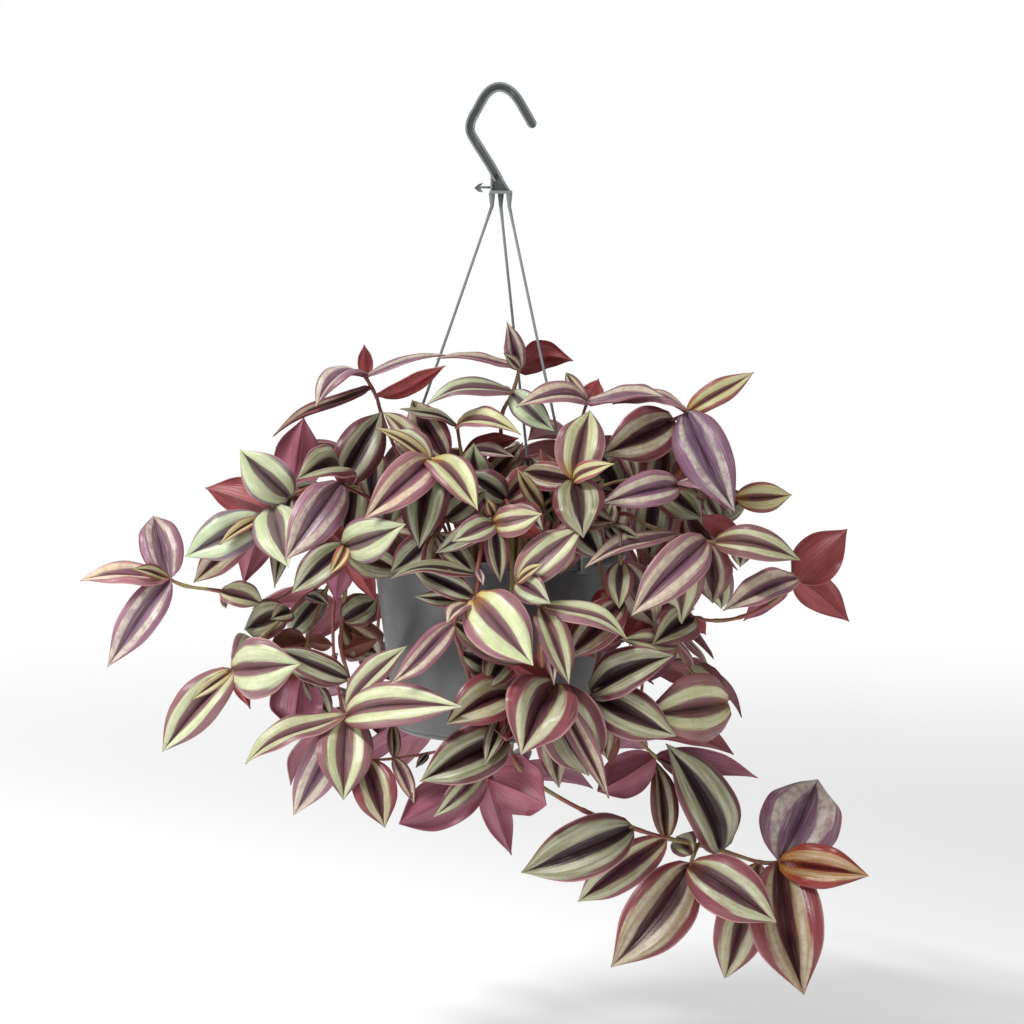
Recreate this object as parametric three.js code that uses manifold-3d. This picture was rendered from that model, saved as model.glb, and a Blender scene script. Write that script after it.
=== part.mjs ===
// Hanging pot of trailing spiderwort: a grey plastic pot, its growing medium, a moulded three-strand hanger
// with a hook, and the leafy stems. Millimetres, +Z up, +X to the right, -Y towards the front.
// The origin is the seat of the hook, where a rail carries it. Below, heights are worked out from the rim of
// the pot and the finished part is lowered by SEAT_HEIGHT.
import * as THREE from "three";
import Module from "manifold-3d";

const wasm = await Module();
wasm.setup();

// ---- driving dimensions ----
const SEAT_HEIGHT = 262.8; // hook seat above the rim
const GAP = 0.3; // clearance where pieces touch

const RIM_RADIUS = 75;
const LIP_WIDTH = 2.6; // how far the lip stands out from the wall
const LIP_DEPTH = 5.5;
const POT_HEIGHT = 105;
const POT_BASE_RADIUS = 59;
const FOOT_HEIGHT = 3.2; // the step round the foot
const FOOT_INSET = 1.2;
const BASE_CORNER = 7; // slope inside, where the wall meets the base
const FOOT_CORNER = 2.1;
const RIM_EDGE = 0.7;
const WALL = 1.8;
const POT_SEGMENTS = 40;

const SOIL_DROP = 12; // surface of the growing medium below the rim
const HOLE_DEPTH = 18;
const HOLE_SLACK = 1.4; // hole radius beyond the stem radius
const HOLE_SIDES = 5;

const BAR_HEIGHT = 5.5; // hook bar, across the flanges
const BAR_DEPTH = 5.4; // hook bar, front to back
const FLANGE = 1.2;
const WEB = 1.6;
const STRAND_RADIUS = 0.95;
const STRAND_SIDES = 5;
const STRAND_STEPS = [0.05, 0.35, 0.7, 0.97]; // where a strand bends, from its leg to its clip
const STRAND_RADII = [2, 2, 1.35, STRAND_RADIUS, STRAND_RADIUS, STRAND_RADIUS, 1.3, 1.5]; // leg, then strand
const STRAND_SAG = 1.5;
const STRAND_INSET = 1.2; // where a strand ends on its clip, inside the edge of the rim
const STRAND_BEARINGS = [168, 48, -72]; // where the strands meet the rim; 90 is the front
const CLIP_WIDTH = 9;
const CLIP_WALL = 1.8;
const CLIP_SLACK = 0.55; // between a clip and the lip
const CLIP_REACH = 7.4; // how far a clip goes in over the rim

const STEM_SIDES = 4;
const STEM_SEGMENT = 34; // longest straight piece of a stem
const BUD_LENGTH = 1.8; // bud past the last leaf, against the stem radius
const BLADE_KEEL = 0.8; // underside of the midrib below the middle of the blade
const BLADE_SINK = 0.8; // foot of a blade behind the middle of its stem
const BLADE_FOLD = 0.07; // how far the margins rise, against the half width
const BLADE_STATIONS = [0.14, 0.42, 0.74];
const POT_ROOM = 1.2; // kept between a blade and the pot or the growing medium
const CLEARANCE = 0.9; // kept between a blade and any other leafy stem
const STEM_ROOM = 0.7; // kept round a stem
const OBSTACLE_SIDES = 6;
const FOOT_ROOM = 4; // a blade may touch its own stem this near its foot
const FUSE_TOLERANCE = 0.05; // slivers below this size go when a stem and its blades are fused
const STEM_TAPER = 0.82; // radius at the tip of a stem, against its root
const NODE_DISTANCE = 38; // along a trailing stem
const FIRST_NODE = 4; // the first point of a ruled stem that bears a leaf
const SEED = 20461;

// The front elevation on which the plant is set out, in [x, h, f]: across and up, as seen from an eye at
// distance SHEET.eye looking down by SHEET.dip degrees, and f in front of the axis of the pot.
const SHEET = { eye: 1900, dip: 6, x: 8.7, z: 21 };

// Hook bar, from the tip over the top to the gusset, as [x, h]
const HOOK_ROUTE = [
  [21.6, 243.9], [18.4, 249.5], [15.3, 255], [12.2, 260.2], [8.6, 264.4], [5, 266.7], [1.2, 267.5],
  [-2.6, 266.4], [-6, 263.6], [-8.7, 259.6], [-11.2, 254.9], [-14, 250], [-15.5, 245.4], [-15.2, 241],
  [-13, 236.8], [-10, 231.9], [-7, 227.2], [-4, 222.4], [-1.2, 217.6], [0.8, 213.8],
];
// Gusset under the bar, its base plate and the roots of the strands, as [x, h]
const GUSSET = { left: -3.8, right: 8.4, top: 217.5, slope_x: 1.6, bottom: 206.4 };
const PLATE = { left: -4.3, right: 8.9, top: 207.4, bottom: 205.6, depth: 9 };
const STRAND_ROOTS = [[-2.9, 204.5], [7.1, 204.5], [2.2, 204.5]];
const STRAND_DEPTHS = [-0.8, -2.4, 2.4]; // y of each root
const LEG_LENGTH = 6;
const SLANT_FLANGE = 1.56; // the slanting flange, measured level
// The barb that holds a label, as [x, h]
const BARB = [
  [-3, 208.5], [-9.6, 208.7], [-8, 206.3], [-10.6, 206.6], [-13.3, 208.9], [-10.6, 211.3], [-7.8, 211.9],
  [-9.6, 209.9], [-3, 209.9],
];
const BARB_DEPTH = 1.4;

// Leafy stems: name, root in the pot as [bearing, radius] (none where it branches off), radius, route as
// [x, h, f], and its leaves as [place along the route, tip x, h, f, width, turn, arch]. A turn of 0 shows
// the upper face to the front, 90 shows the edge and 180 the underside.
const STEMS = [
  ["long_left", [179, 59], 1.2, [[-84, 14, 4], [-110, -16, 22], [-133, -31, 28], [-160, -25, 30],
      [-180, -22, 32], [-190, -18, 34]], [
    [5, -199, 16, 2, 25, 5, 0.08], [5, -242, -27, 42, 22, 52, 0.04], [5, -226, -69, 52, 23, 12, 0.08],
    [5, -212, -12, 52, 9, 20, 0.05], [3, -135, -33, 38, 18, 32, 0.05], [3, -157, -35, 22, 6, 20, 0.04]]],
  ["upper_left", [168, 40], 1.2, [[-84, 36, 28], [-102, 37, 38], [-120, 30, 44], [-137, 17, 50]], [
    [3, -181, -5, 64, 27, 12, 0.1], [3, -161, 2, 74, 8, 30, 0.05], [3, -176, -20, 30, 20, 8, 0.05],
    [2, -149, 57, 52, 27, -8, 0.08], [2.5, -121, -11, 82, 30, -8, 0.1], [2, -112, 76, 18, 29, 172, 0.08],
    [2.6, -169, 35, 22, 25, 164, 0.06], [2.8, -147, -21, 24, 24, 176, 0.08],
    [1, -134, 24, 30, 10, 25, 0.04], [2, -129, -23, 58, 14, 0, 0.05]]],
  ["shoulder_left", [150, 47], 1.2, [[-72, 28, 42], [-91, 37, 56]], [
    [1, -123, -7, 88, 28, -2, 0.12], [1, -67, 79, 38, 27, 0, 0.08], [1, -116, 40, 98, 26, 55, 0.2],
    [0, -70, 60, 20, 18, 8, 0.06]]],
  ["rim_left", [139, 58], 1.15, [[-64, 12, 60], [-80, 8, 66], [-88, 1, 74]], [
    [2, -53, 14, 102, 26, 0, 0.1], [2, -119, -26, 86, 21, 12, 0.1], [2, -97, -15, 100, 9, 0, 0.05],
    [2, -55, -14, 62, 22, -18, 0.05], [2, -105, 17, 76, 13, 178, 0.05], [2, -93, -31, 56, 19, 176, 0.05],
    [2, -70, -31, 62, 14, 170, 0.04], [1, -104, -6, 50, 22, 0, 0.06]]],
  ["drop_left", [155, 59], 1.15, [[-77, 9, 36], [-98, -16, 34], [-110, -28, 40], [-120, -37, 44],
      [-135, -50, 50], [-150, -65, 54], [-153, -71, 56]], [
    [6, -194, -118, 68, 26, 16, 0.08], [6, -114, -67, 84, 35, 5, 0.08], [6, -135, -45, 26, 22, -10, 0.12],
    [6, -177, -88, 70, 8, 10, 0.04], [6, -143, -93, 48, 9, 176, 0.03], [3, -146, -50, 30, 24, 20, 0.05],
    [3, -131, -41, 66, 13, 20, 0.05], [2, -97, -33, 62, 8, 30, 0.05]]],
  ["tuft_left", [162, 54], 1.1, [[-81, 10, 26], [-99, -24, 24], [-110, -54, 26], [-113, -74, 32]], [
    [3, -117, -106, 52, 31, 178, 0.06], [3, -134, -82, 44, 13, 150, 0.05], [3, -96, -98, 20, 15, 0, 0.05],
    [2, -95, -56, 36, 10, 160, 0.05], [2, -132, -58, 50, 20, 172, 0.06], [1, -121, -50, 4, 18, 0, 0.06]]],
  ["upright_left", [147, 59], 1.2, [[-74, 10, 50], [-86, -6, 46], [-88, -25, 50], [-90, -42, 54],
      [-90, -60, 58], [-86, -76, 66], [-87, -98, 76]], [
    [6, -146, -125, 88, 22, 52, 0.08], [6, -89, -146, 98, 32, 0, 0.06], [5.7, -56, -56, 92, 19, 38, 0.08],
    [6, -20, -92, 120, 26, 12, 0.12], [6, -78, -90, 84, 6, 0, 0.02], [6, -118, -155, 62, 24, -8, 0.06],
    [5, -128, -58, 70, 17, 10, 0.06], [5, -121, -70, 54, 16, 24, 0.05], [3, -69, -29, 44, 20, 10, 0.05],
    [3, -67, -64, 30, 26, -8, 0.05], [4, -68, -52, 46, 16, 165, 0.05]]],
  ["front_left", [104, 59], 1.4, [[-8, 10, 84], [-11, -12, 92], [-13, -29, 98], [-25, -43, 100],
      [-21, -60, 97], [-15, -78, 95], [-10, -96, 92], [-7, -118, 88], [-6, -133, 86]], [
    [2, 21, -68, 126, 35, 4, 0.14], [2.2, -30, -46, 118, 13, 20, 0.08], [3, -62, -79, 116, 17, -20, 0.08],
    [1.2, -62, -18, 106, 15, 55, 0.1], [2, -50, -11, 92, 15, 8, 0.05], [3, 19, -67, 92, 18, 0, 0.05],
    [4, 8, -70, 86, 19, 0, 0.05], [2, -48, -28, 88, 10, 0, 0.03], [1, -8, -21, 106, 5, 20, 0.01],
    [8, -57, -160, 108, 30, 178, 0.08], [8, 29, -149, 104, 36, 176, 0.06],
    [8, 9, -182, 92, 17, 178, 0.05], [7.4, -37, -156, 100, 15, 0, 0.05]]],
  ["front_left", [], 0.9, [[-9, -104, 91], [-24, -114, 84], [-40, -119, 82], [-60, -122, 82],
      [-76, -123, 82]], [
    [4, -65, -162, 96, 25, 0, 0.06], [3, -48, -148, 92, 10, 12, 0.05], [3, -60, -100, 74, 9, 30, 0.05],
    [2, -47, -127, 90, 5, 10, 0.02]]],
  ["long_right", [84, 59], 1.4, [[8, 10, 84], [9, -24, 88], [8, -60, 84], [7, -84, 86], [5, -106, 88],
      [10, -123, 88], [21, -135, 86], [50, -152, 78], [78, -162, 70], [98, -168, 64], [129, -175, 52],
      [152, -182, 44], [164, -182, 40]], [
    [3, -35, -107, 104, 29, 6, 0.1], [4.2, -46, -136, 106, 31, 0, 0.08],
    [3.4, -7, -126, 114, 13, 20, 0.08], [3, 5, -114, 110, 16, 176, 0.05],
    [5, 27, -140, 92, 12, 176, 0.05], [2, -8, -84, 96, 20, 0, 0.05], [8, 14, -188, 88, 34, 4, 0.08],
    [9, 47, -205, 50, 25, -10, 0.06], [9, 91, -122, 58, 17, 18, 0.05], [10, 98, -113, 76, 34, 0, 0.06],
    [11, 132, -250, 26, 31, 0, 0.06], [12, 186, -134, 8, 47, 0, 0.06], [12, 216, -190, 64, 26, 10, 0.04],
    [12, 178, -259, 66, 43, 0, 0.06]]],
  ["long_right", [], 1.1, [[118, -170, 57], [114, -178, 62], [112, -184, 66]], [
    [2, 66, -243, 92, 38, -4, 0.08], [2, 162, -217, 90, 34, 4, 0.1], [2, 117, -206, 80, 8, 10, 0.04],
    [1, 104, -167, 44, 17, 0, 0.03]]],
  ["drop_right", [57, 59], 1.15, [[54, 9, 66], [62, -28, 76], [60, -58, 80], [55, -84, 80],
      [67, -102, 76], [80, -110, 74], [92, -121, 72]], [
    [6, 58, -141, 88, 25, 178, 0.06], [6, 151, -133, 56, 16, 160, 0.02], [6, 147, -145, 40, 18, 20, 0.03],
    [3, 103, -62, 98, 27, 0, 0.1], [3, 104, -109, 100, 29, 4, 0.08], [3.3, 64, -122, 84, 19, 10, 0.05],
    [4, 66, -127, 76, 10, 176, 0.03]]],
  ["pale_right", [41, 59], 1.15, [[70, 8, 52], [84, -14, 60], [96, -38, 64], [104, -57, 66],
      [115, -74, 60], [133, -90, 58]], [
    [5, 84, -97, 90, 39, 0, 0.08], [5, 112, -70, 26, 24, -15, 0.15], [3, 69, -54, 84, 15, 20, 0.08],
    [3, 88, -78, 70, 12, 150, 0.04]]],
  ["far_right", [31, 59], 1.2, [[76, 9, 44], [88, -14, 54], [99, -33, 60], [113, -40, 60], [127, -42, 56],
      [141, -40, 52], [155, -34, 48], [168, -25, 44], [174, -18, 42]], [
    [8, 203, 11, 28, 28, 174, 0.06], [8, 208, -46, 28, 21, 178, 0.08], [8, 131, -36, 68, 20, 28, 0.08],
    [7, 143, -42, 26, 12, 160, 0.03], [3, 90, -56, 82, 25, 10, 0.08], [3, 121, -50, 54, 9, 170, 0.03],
    [2, 84, -52, 46, 24, 175, 0.05]]],
  ["shoulder_right", [34, 52], 1.15, [[72, 20, 44], [88, 13, 52], [104, 8, 58], [121, 4, 62],
      [134, 3, 60], [142, 2, 58]], [
    [3, 78, -39, 98, 27, -5, 0.1], [2, 50, -17, 94, 15, 42, 0.08], [3, 125, -32, 48, 24, 8, 0.05],
    [5, 141, -11, 66, 12, 0, 0.04], [3, 131, -39, 34, 18, 0, 0.06], [2, 107, -44, 72, 29, 0, 0.06],
    [3.4, 176, -7, 72, 20, 14, 0.25], [5, 122, 14, 76, 14, 170, 0.1]]],
  ["high_right", [22, 30], 1.15, [[48, 36, 18], [72, 54, 24], [94, 70, 30], [110, 78, 32]], [
    [3, 149, 102, 30, 15, 15, 0.05], [3, 67, 87, 34, 20, 50, 0.12], [3, 138, 21, 66, 31, 0, 0.12],
    [2.4, 60, 54, 56, 31, 0, 0.05]]],
  ["mid_right", [32, 40], 1.1, [[58, 34, 34], [80, 40, 42], [104, 36, 48], [122, 29, 46], [138, 29, 42]], [
    [2, 60, 26, 80, 21, 8, 0.1], [2, 137, 21, 62, 15, 55, 0.22], [4, 171, 31, 36, 18, 8, 0.05],
    [3, 113, 37, 28, 9, 0, 0.02], [3, 131, 15, 56, 13, 0, 0.05], [1.4, 119, 17, 32, 23, 0, 0.05],
    [2, 112, 53, 24, 13, 178, 0.05], [1, 72, 62, 40, 10, 20, 0.05]]],
  ["front_top", [72, 32], 1.2, [[26, 24, 54], [38, 34, 66], [45, 39, 74]], [
    [2, 54, 80, 60, 28, 4, 0.05], [2, 68, 49, 96, 11, 20, 0.15], [2, 50, 6, 100, 29, 0, 0.08],
    [2, 30, 69, 46, 19, 178, 0.05], [2, 59, 64, 48, 15, 176, 0.05], [1, 18, 61, 40, 17, 178, 0.05],
    [2, 13, 46, 54, 17, 8, 0.05], [2, 62, 17, 64, 20, 0, 0.05], [0, 12, 46, 78, 10, 8, 0.02]]],
  ["high_middle", [84, 14], 1.2, [[0, 40, 20], [2, 62, 26], [3, 78, 28], [9, 90, 28], [13, 104, 28]], [
    [4, -35, 110, 36, 10, 58, 0.03], [4, 6, 131, 36, 13, 18, 0.03], [4, 4, 113, 40, 7, 0, 0.02],
    [4, 46, 104, 26, 21, 132, 0.34], [3, 33, 68, 46, 17, 0, 0.08], [3, -41, 83, 46, 21, 58, 0.14]]],
  ["high_mid_right", [48, 26], 1.1, [[30, 38, 20], [44, 62, 24], [52, 84, 26]], [
    [2, 11, 82, 48, 19, 44, 0.2], [2, 59, 98, 2, 15, 174, 0.03], [2, 99, 79, 46, 20, 58, 0.01],
    [2, 40, 102, 4, 9, 0, 0.02]]],
  ["high_left", [150, 28], 1.1, [[-42, 32, 16], [-58, 56, 18], [-67, 78, 20], [-70, 88, 20],
      [-76, 99, 20]], [
    [4, -77, 118, 18, 9, 176, 0.03], [4, -105, 82, 40, 20, 64, 0.23], [3.4, -130, 65, 42, 16, 62, 0.0],
    [4, -28, 112, 20, 10, 60, 0.05], [3, -30, 106, 30, 13, 142, -0.08]]],
  ["top_middle", [128, 20], 1.15, [[-14, 32, 26], [-20, 52, 30], [-23, 70, 32]], [
    [2, 14, 66, 58, 17, 42, 0.2], [2, -56, 81, 36, 11, 58, 0.05], [0.2, -13, 70, 48, 26, 0, 0.05],
    [1, 12, 62, 44, 13, 155, 0.08], [1, 10, 53, 54, 11, 48, 0.1], [0, 15, 61, 18, 18, 0, 0.05]]],
  ["shoulder_middle", [124, 38], 1.2, [[-26, 32, 46], [-34, 44, 58], [-39, 50, 66]], [
    [2, -60, 69, 62, 18, 8, 0.05], [2, -77, 17, 104, 25, 4, 0.12], [2, -11, 22, 102, 22, 8, 0.1],
    [2, -45, 0, 92, 29, -4, 0.06], [2, -69, 71, 76, 9, 30, 0.05], [2, -66, 79, 40, 13, 18, 0.05],
    [1, -62, 13, 62, 19, 0, 0.05]]],
  ["front_middle", [93, 48], 1.15, [[0, 18, 70], [-2, 19, 82], [-2, 14, 90]], [
    [2, -26, 4, 108, 16, 22, 0.12], [2, 26, 20, 104, 18, 8, 0.1], [2, 29, 11, 88, 13, 150, 0.08],
    [2, -35, -3, 84, 13, 8, 0.05], [2, 10, -2, 96, 5, 18, 0.03], [1, -6, 29, 96, 8, 20, 0.03],
    [2, 2, -20, 98, 14, 0, 0.06]]],
  ["front_right", [74, 59], 1.3, [[14, 11, 82], [13, -4, 90], [12, -20, 96], [25, -34, 98], [30, -56, 98],
      [33, -79, 98]], [
    [2, 47, 13, 108, 24, 8, 0.08], [2, 31, -32, 114, 17, 0, 0.06], [2, 27, -9, 112, 8, 38, 0.05],
    [3, 74, -57, 100, 21, 52, 0.1], [3, 60, -61, 84, 22, 168, 0.05], [3, 41, -80, 110, 19, 14, 0.12],
    [3.6, 33, -79, 116, 9, 10, 0.04], [3.6, 28, -78, 90, 11, 0, 0.02], [5, 14, -120, 128, 41, 0, 0.08],
    [5, 54, -134, 104, 37, 0, 0.08], [5, 4, -61, 95, 20, 174, 0.05], [5, 4, -106, 88, 22, 172, 0.05],
    [5, 65, -145, 112, 14, 14, 0.05], [5, 36, -139, 84, 21, 0, 0.03]]],
  ["rim_right", [54, 50], 1.1, [[48, 18, 62], [64, 12, 74], [72, -8, 80], [73, -31, 82], [73, -53, 80]], [
    [2, 71, -35, 92, 17, 0, 0.05], [1, 72, 1, 88, 9, 8, 0.03], [1, 81, 2, 82, 9, 8, 0.03],
    [1, 68, 27, 70, 8, 0, 0.02], [4, 54, -58, 90, 9, 172, 0.02], [3, 38, -66, 84, 24, 0, 0.05],
    [4, 92, -26, 64, 20, 174, 0.05], [2, 90, -42, 62, 27, 0, 0.05], [3, 54, -40, 76, 22, 172, 0.05]]],
  ["inner_left", [113, 46], 1.1, [[-22, 14, 60], [-29, 17, 72], [-35, 8, 80]], [
    [2, -62, -14, 82, 20, 0, 0.06], [2, -34, -28, 86, 19, 6, 0.06], [2, -12, -16, 88, 16, 10, 0.06],
    [1.6, -62, 14, 78, 20, 0, 0.05], [1, -6, 34, 76, 18, 10, 0.06], [1, -54, 38, 60, 20, 10, 0.05]]],
  ["inner_front", [88, 38], 1.1, [[2, 20, 50], [5, 28, 60], [8, 22, 70]], [
    [2, 20, -8, 79, 14, 6, 0.06], [2, 34, 6, 82, 18, 0, 0.05], [1, -18, 44, 62, 20, 0, 0.05],
    [1, 30, 48, 52, 20, 0, 0.05]]],
  ["inner_right", [64, 48], 1.1, [[27, 18, 52], [35, 24, 60], [44, 16, 68]], [
    [2, 62, -8, 82, 22, 0, 0.06], [2, 36, -14, 82, 19, 4, 0.06], [2, 74, 14, 74, 18, 4, 0.06],
    [1, 62, 40, 48, 18, 0, 0.05]]],
  ["deep_left", [176, 26], 1.1, [[-44, 24, -4], [-62, 38, -4], [-82, 38, 4], [-100, 26, 10]], [
    [3, -122, 2, 12, 26, 0, 0.06], [3, -138, 36, 4, 22, 0, 0.06], [2, -84, 72, 4, 24, 0, 0.06],
    [2, -88, -4, 12, 25, 0, 0.06], [1, -38, 68, 4, 25, 0, 0.06], [1, -50, 2, 14, 22, 0, 0.06]]],
  ["deep_right", [10, 40], 1.1, [[52, 24, 4], [70, 34, 8], [92, 32, 12], [110, 20, 14]], [
    [3, 132, -10, 10, 26, 0, 0.06], [3, 148, 30, 6, 24, 0, 0.06], [2, 98, 66, 8, 26, 0, 0.06],
    [2, 88, -8, 18, 26, 0, 0.06], [1, 54, 62, 6, 26, 0, 0.06], [1, 64, -6, 18, 24, 0, 0.06]]],
  ["deep_middle", [100, 26], 1.1, [[4, 22, 32], [13, 38, 34], [18, 52, 36]], [
    [2, 34, 14, 40, 26, 0, 0.06], [2, 8, 12, 44, 24, 0, 0.06], [1, -14, 10, 42, 20, 0, 0.06],
    [1, 34, 52, 28, 18, 0, 0.06]]],
  ["deep_mid_left", [140, 44], 1.1, [[-34, 22, 32], [-33, 38, 34], [-29, 52, 36]], [
    [2, -38, 8, 24, 22, 0, 0.06], [2, -14, 22, 22, 20, 0, 0.06], [2, -46, 88, 18, 22, 0, 0.06],
    [1, -52, 4, 40, 24, 0, 0.06], [1, -62, 46, 28, 20, 0, 0.06]]],
];

// The other stems follow a rule: their bearings are even, with seeded offsets. A trailing one goes over the
// rim, out by its spread and down by its drop. The others rise and lean out.
const RULED_STEMS = [
  { name: "back_trailing", count: 8, from: 212, to: 330, radius: 59, size: 0.93,
    drops: [70, 145], spreads: [96, 121] },
  { name: "back_arching", count: 5, from: 200, to: 340, radius: 38, size: 1,
    rises: [28, 54], spreads: [70, 108] },
  { name: "back_inner", count: 5, from: 212, to: 346, radius: 16, size: 0.8,
    rises: [34, 54], spreads: [34, 60] },
  { name: "side_trailing", count: 2, from: -12, to: 8, radius: 59, size: 0.75,
    drops: [24, 44], spreads: [82, 90] },
];
const RULED_RADIUS = 1.2;

// ---- small helpers ----
const rad = (degrees) => (degrees * Math.PI) / 180;
const vec = (x, y, z) => new THREE.Vector3(x, y, z);
const mix = (a, b, t) => a + (b - a) * t;

function bearingPoint(bearing, radius, z) {
  return vec(radius * Math.cos(rad(bearing)), -radius * Math.sin(rad(bearing)), z);
}

// A repeatable random number from 0 to 1
let randomState = SEED;
function random() {
  randomState = (randomState * 16807) % 2147483647;
  return randomState / 2147483647;
}

const DIP_COS = Math.cos(rad(SHEET.dip));
const DIP_SIN = Math.sin(rad(SHEET.dip));
const EYE = vec(SHEET.x, -SHEET.eye * DIP_COS, SHEET.z + SHEET.eye * DIP_SIN);

// From the front elevation to space
function place([x, h, f = 0]) {
  const up = h - SHEET.z;
  const onSheet = vec(x, up * DIP_SIN, SHEET.z + up * DIP_COS);
  const reach = (SHEET.eye * DIP_COS - f) / (SHEET.eye * DIP_COS + up * DIP_SIN);
  return onSheet.sub(EYE).multiplyScalar(reach).add(EYE);
}

// ---- meshes and solids ----
function buildGeometry(points, faces) {
  const geometry = new THREE.BufferGeometry();
  const values = points.flatMap((p) => [p.x, p.y, p.z]);
  geometry.setAttribute("position", new THREE.Float32BufferAttribute(values, 3));
  geometry.setIndex(faces.flat());
  return geometry;
}

// Joins rings of equal size, with a flat cap on each end
function loft(rings) {
  const sides = rings[0].length;
  const faces = [];
  for (let r = 0; r + 1 < rings.length; r += 1) {
    for (let k = 0; k < sides; k += 1) {
      const a = r * sides + k;
      const b = r * sides + ((k + 1) % sides);
      faces.push([a, b, b + sides], [a, b + sides, a + sides]);
    }
  }
  const last = (rings.length - 1) * sides;
  const caps = THREE.ShapeUtils.triangulateShape(capOutline(rings[0]), []);
  for (const [a, b, c] of caps) {
    faces.push([c, b, a], [last + a, last + b, last + c]);
  }
  return buildGeometry(rings.flat(), faces);
}

// The first ring, laid flat, so that a cap of any outline can be cut into triangles
function capOutline(ring) {
  const middle = ring.reduce((sum, p) => sum.add(p), vec(0, 0, 0)).divideScalar(ring.length);
  const normal = vec(0, 0, 0);
  ring.forEach((p, i) => {
    const next = ring[(i + 1) % ring.length];
    normal.add(p.clone().sub(middle).cross(next.clone().sub(middle)));
  });
  normal.normalize();
  const across = ring[0].clone().sub(middle).normalize();
  const along = normal.clone().cross(across);
  return ring.map((p) => {
    const d = p.clone().sub(middle);
    return new THREE.Vector2(d.dot(across), d.dot(along));
  });
}

function toSolid(geometry) {
  const mesh = new wasm.Mesh({
    numProp: 3,
    vertProperties: new Float32Array(geometry.attributes.position.array),
    triVerts: new Uint32Array(geometry.index.array),
  });
  mesh.merge();
  const solid = new wasm.Manifold(mesh);
  return solid.volume() < 0 ? new wasm.Manifold(flipped(mesh)) : solid;
}

function flipped(mesh) {
  const triangles = mesh.triVerts.slice();
  for (let i = 0; i < triangles.length; i += 3) {
    [triangles[i], triangles[i + 1]] = [triangles[i + 1], triangles[i]];
  }
  return new wasm.Mesh({ numProp: 3, vertProperties: mesh.vertProperties, triVerts: triangles });
}

function fromSolid(solid) {
  const mesh = solid.getMesh();
  const geometry = new THREE.BufferGeometry();
  geometry.setAttribute("position", new THREE.BufferAttribute(new Float32Array(mesh.vertProperties), 3));
  geometry.setIndex(new THREE.BufferAttribute(new Uint32Array(mesh.triVerts), 1));
  return geometry;
}

const join = (solids) => wasm.Manifold.union(solids);

// A tube of even sides along points, with a radius for each point
function tube(points, radii, sides) {
  let across = null;
  const rings = points.map((point, i) => {
    const before = points[Math.max(i - 1, 0)];
    const after = points[Math.min(i + 1, points.length - 1)];
    const along = after.clone().sub(before).normalize();
    if (!across) {
      across = Math.abs(along.z) > 0.9 ? vec(1, 0, 0) : vec(0, 0, 1);
    }
    across = across.clone().addScaledVector(along, -across.dot(along)).normalize();
    const side = along.clone().cross(across);
    return Array.from({ length: sides }, (_, k) => {
      const angle = (2 * Math.PI * k) / sides;
      return point.clone()
        .addScaledVector(across, radii[i] * Math.cos(angle))
        .addScaledVector(side, radii[i] * Math.sin(angle));
    });
  });
  return loft(rings);
}

// ---- pot and growing medium ----
function potOuterRadius(z) {
  return mix(RIM_RADIUS - LIP_WIDTH, POT_BASE_RADIUS, -z / POT_HEIGHT);
}

function lathe(profile, segments) {
  const rings = profile.map(([radius, z]) => Array.from({ length: segments }, (_, k) => {
    const angle = (2 * Math.PI * k) / segments;
    return vec(radius * Math.cos(angle), radius * Math.sin(angle), z);
  }));
  return loft(rings);
}

function pot() {
  const bottom = -POT_HEIGHT;
  const foot = bottom + FOOT_HEIGHT;
  const inner = (z) => potOuterRadius(z) - WALL;
  const footRadius = potOuterRadius(foot) - FOOT_INSET;
  return lathe([
    [footRadius - FOOT_CORNER, bottom], [footRadius, bottom + FOOT_CORNER], [footRadius, foot],
    [potOuterRadius(foot), foot + FOOT_INSET / 2], [potOuterRadius(-LIP_DEPTH), -LIP_DEPTH],
    [RIM_RADIUS - RIM_EDGE / 2, -LIP_DEPTH], [RIM_RADIUS, -RIM_EDGE], [RIM_RADIUS - RIM_EDGE, 0],
    [inner(0) + RIM_EDGE, 0], [inner(0), -RIM_EDGE], [inner(bottom + BASE_CORNER), bottom + BASE_CORNER],
    [inner(bottom) - BASE_CORNER * 0.7, bottom + WALL],
  ], POT_SEGMENTS);
}

function growingMedium(roots) {
  const inset = WALL + GAP;
  const top = -SOIL_DROP;
  const bottom = -POT_HEIGHT + WALL + GAP;
  const low = -POT_HEIGHT + BASE_CORNER + GAP;
  let soil = toSolid(lathe([
    [potOuterRadius(-POT_HEIGHT) - inset - BASE_CORNER * 0.75, bottom],
    [potOuterRadius(low) - inset, low], [potOuterRadius(top) - inset, top],
  ], POT_SEGMENTS));
  for (const root of roots) {
    const hole = tube(
      [vec(root.x, root.y, top - HOLE_DEPTH), vec(root.x, root.y, top + 1)],
      [root.radius + HOLE_SLACK, root.radius + HOLE_SLACK], HOLE_SIDES);
    soil = soil.subtract(toSolid(hole));
  }
  return soil;
}

// ---- hanger ----
// Sweeps an I section along the hook, flanges on the inner and outer edge
function hookBar() {
  const middle = HOOK_ROUTE.map((p) => place(p));
  const h = BAR_HEIGHT / 2;
  const d = BAR_DEPTH / 2;
  const w = WEB / 2;
  const f = h - FLANGE;
  const section = [
    [h, -d], [h, d], [f, d], [f, w], [-f, w], [-f, d],
    [-h, d], [-h, -d], [-f, -d], [-f, -w], [f, -w], [f, -d],
  ];
  const rings = middle.map((point, i) => {
    const before = middle[Math.max(i - 1, 0)];
    const after = middle[Math.min(i + 1, middle.length - 1)];
    const along = after.clone().sub(before).setY(0).normalize();
    const outward = vec(along.z, 0, -along.x);
    return section.map(([radial, y]) => point.clone().setY(y).addScaledVector(outward, radial));
  });
  return toSolid(loft(rings));
}

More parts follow.
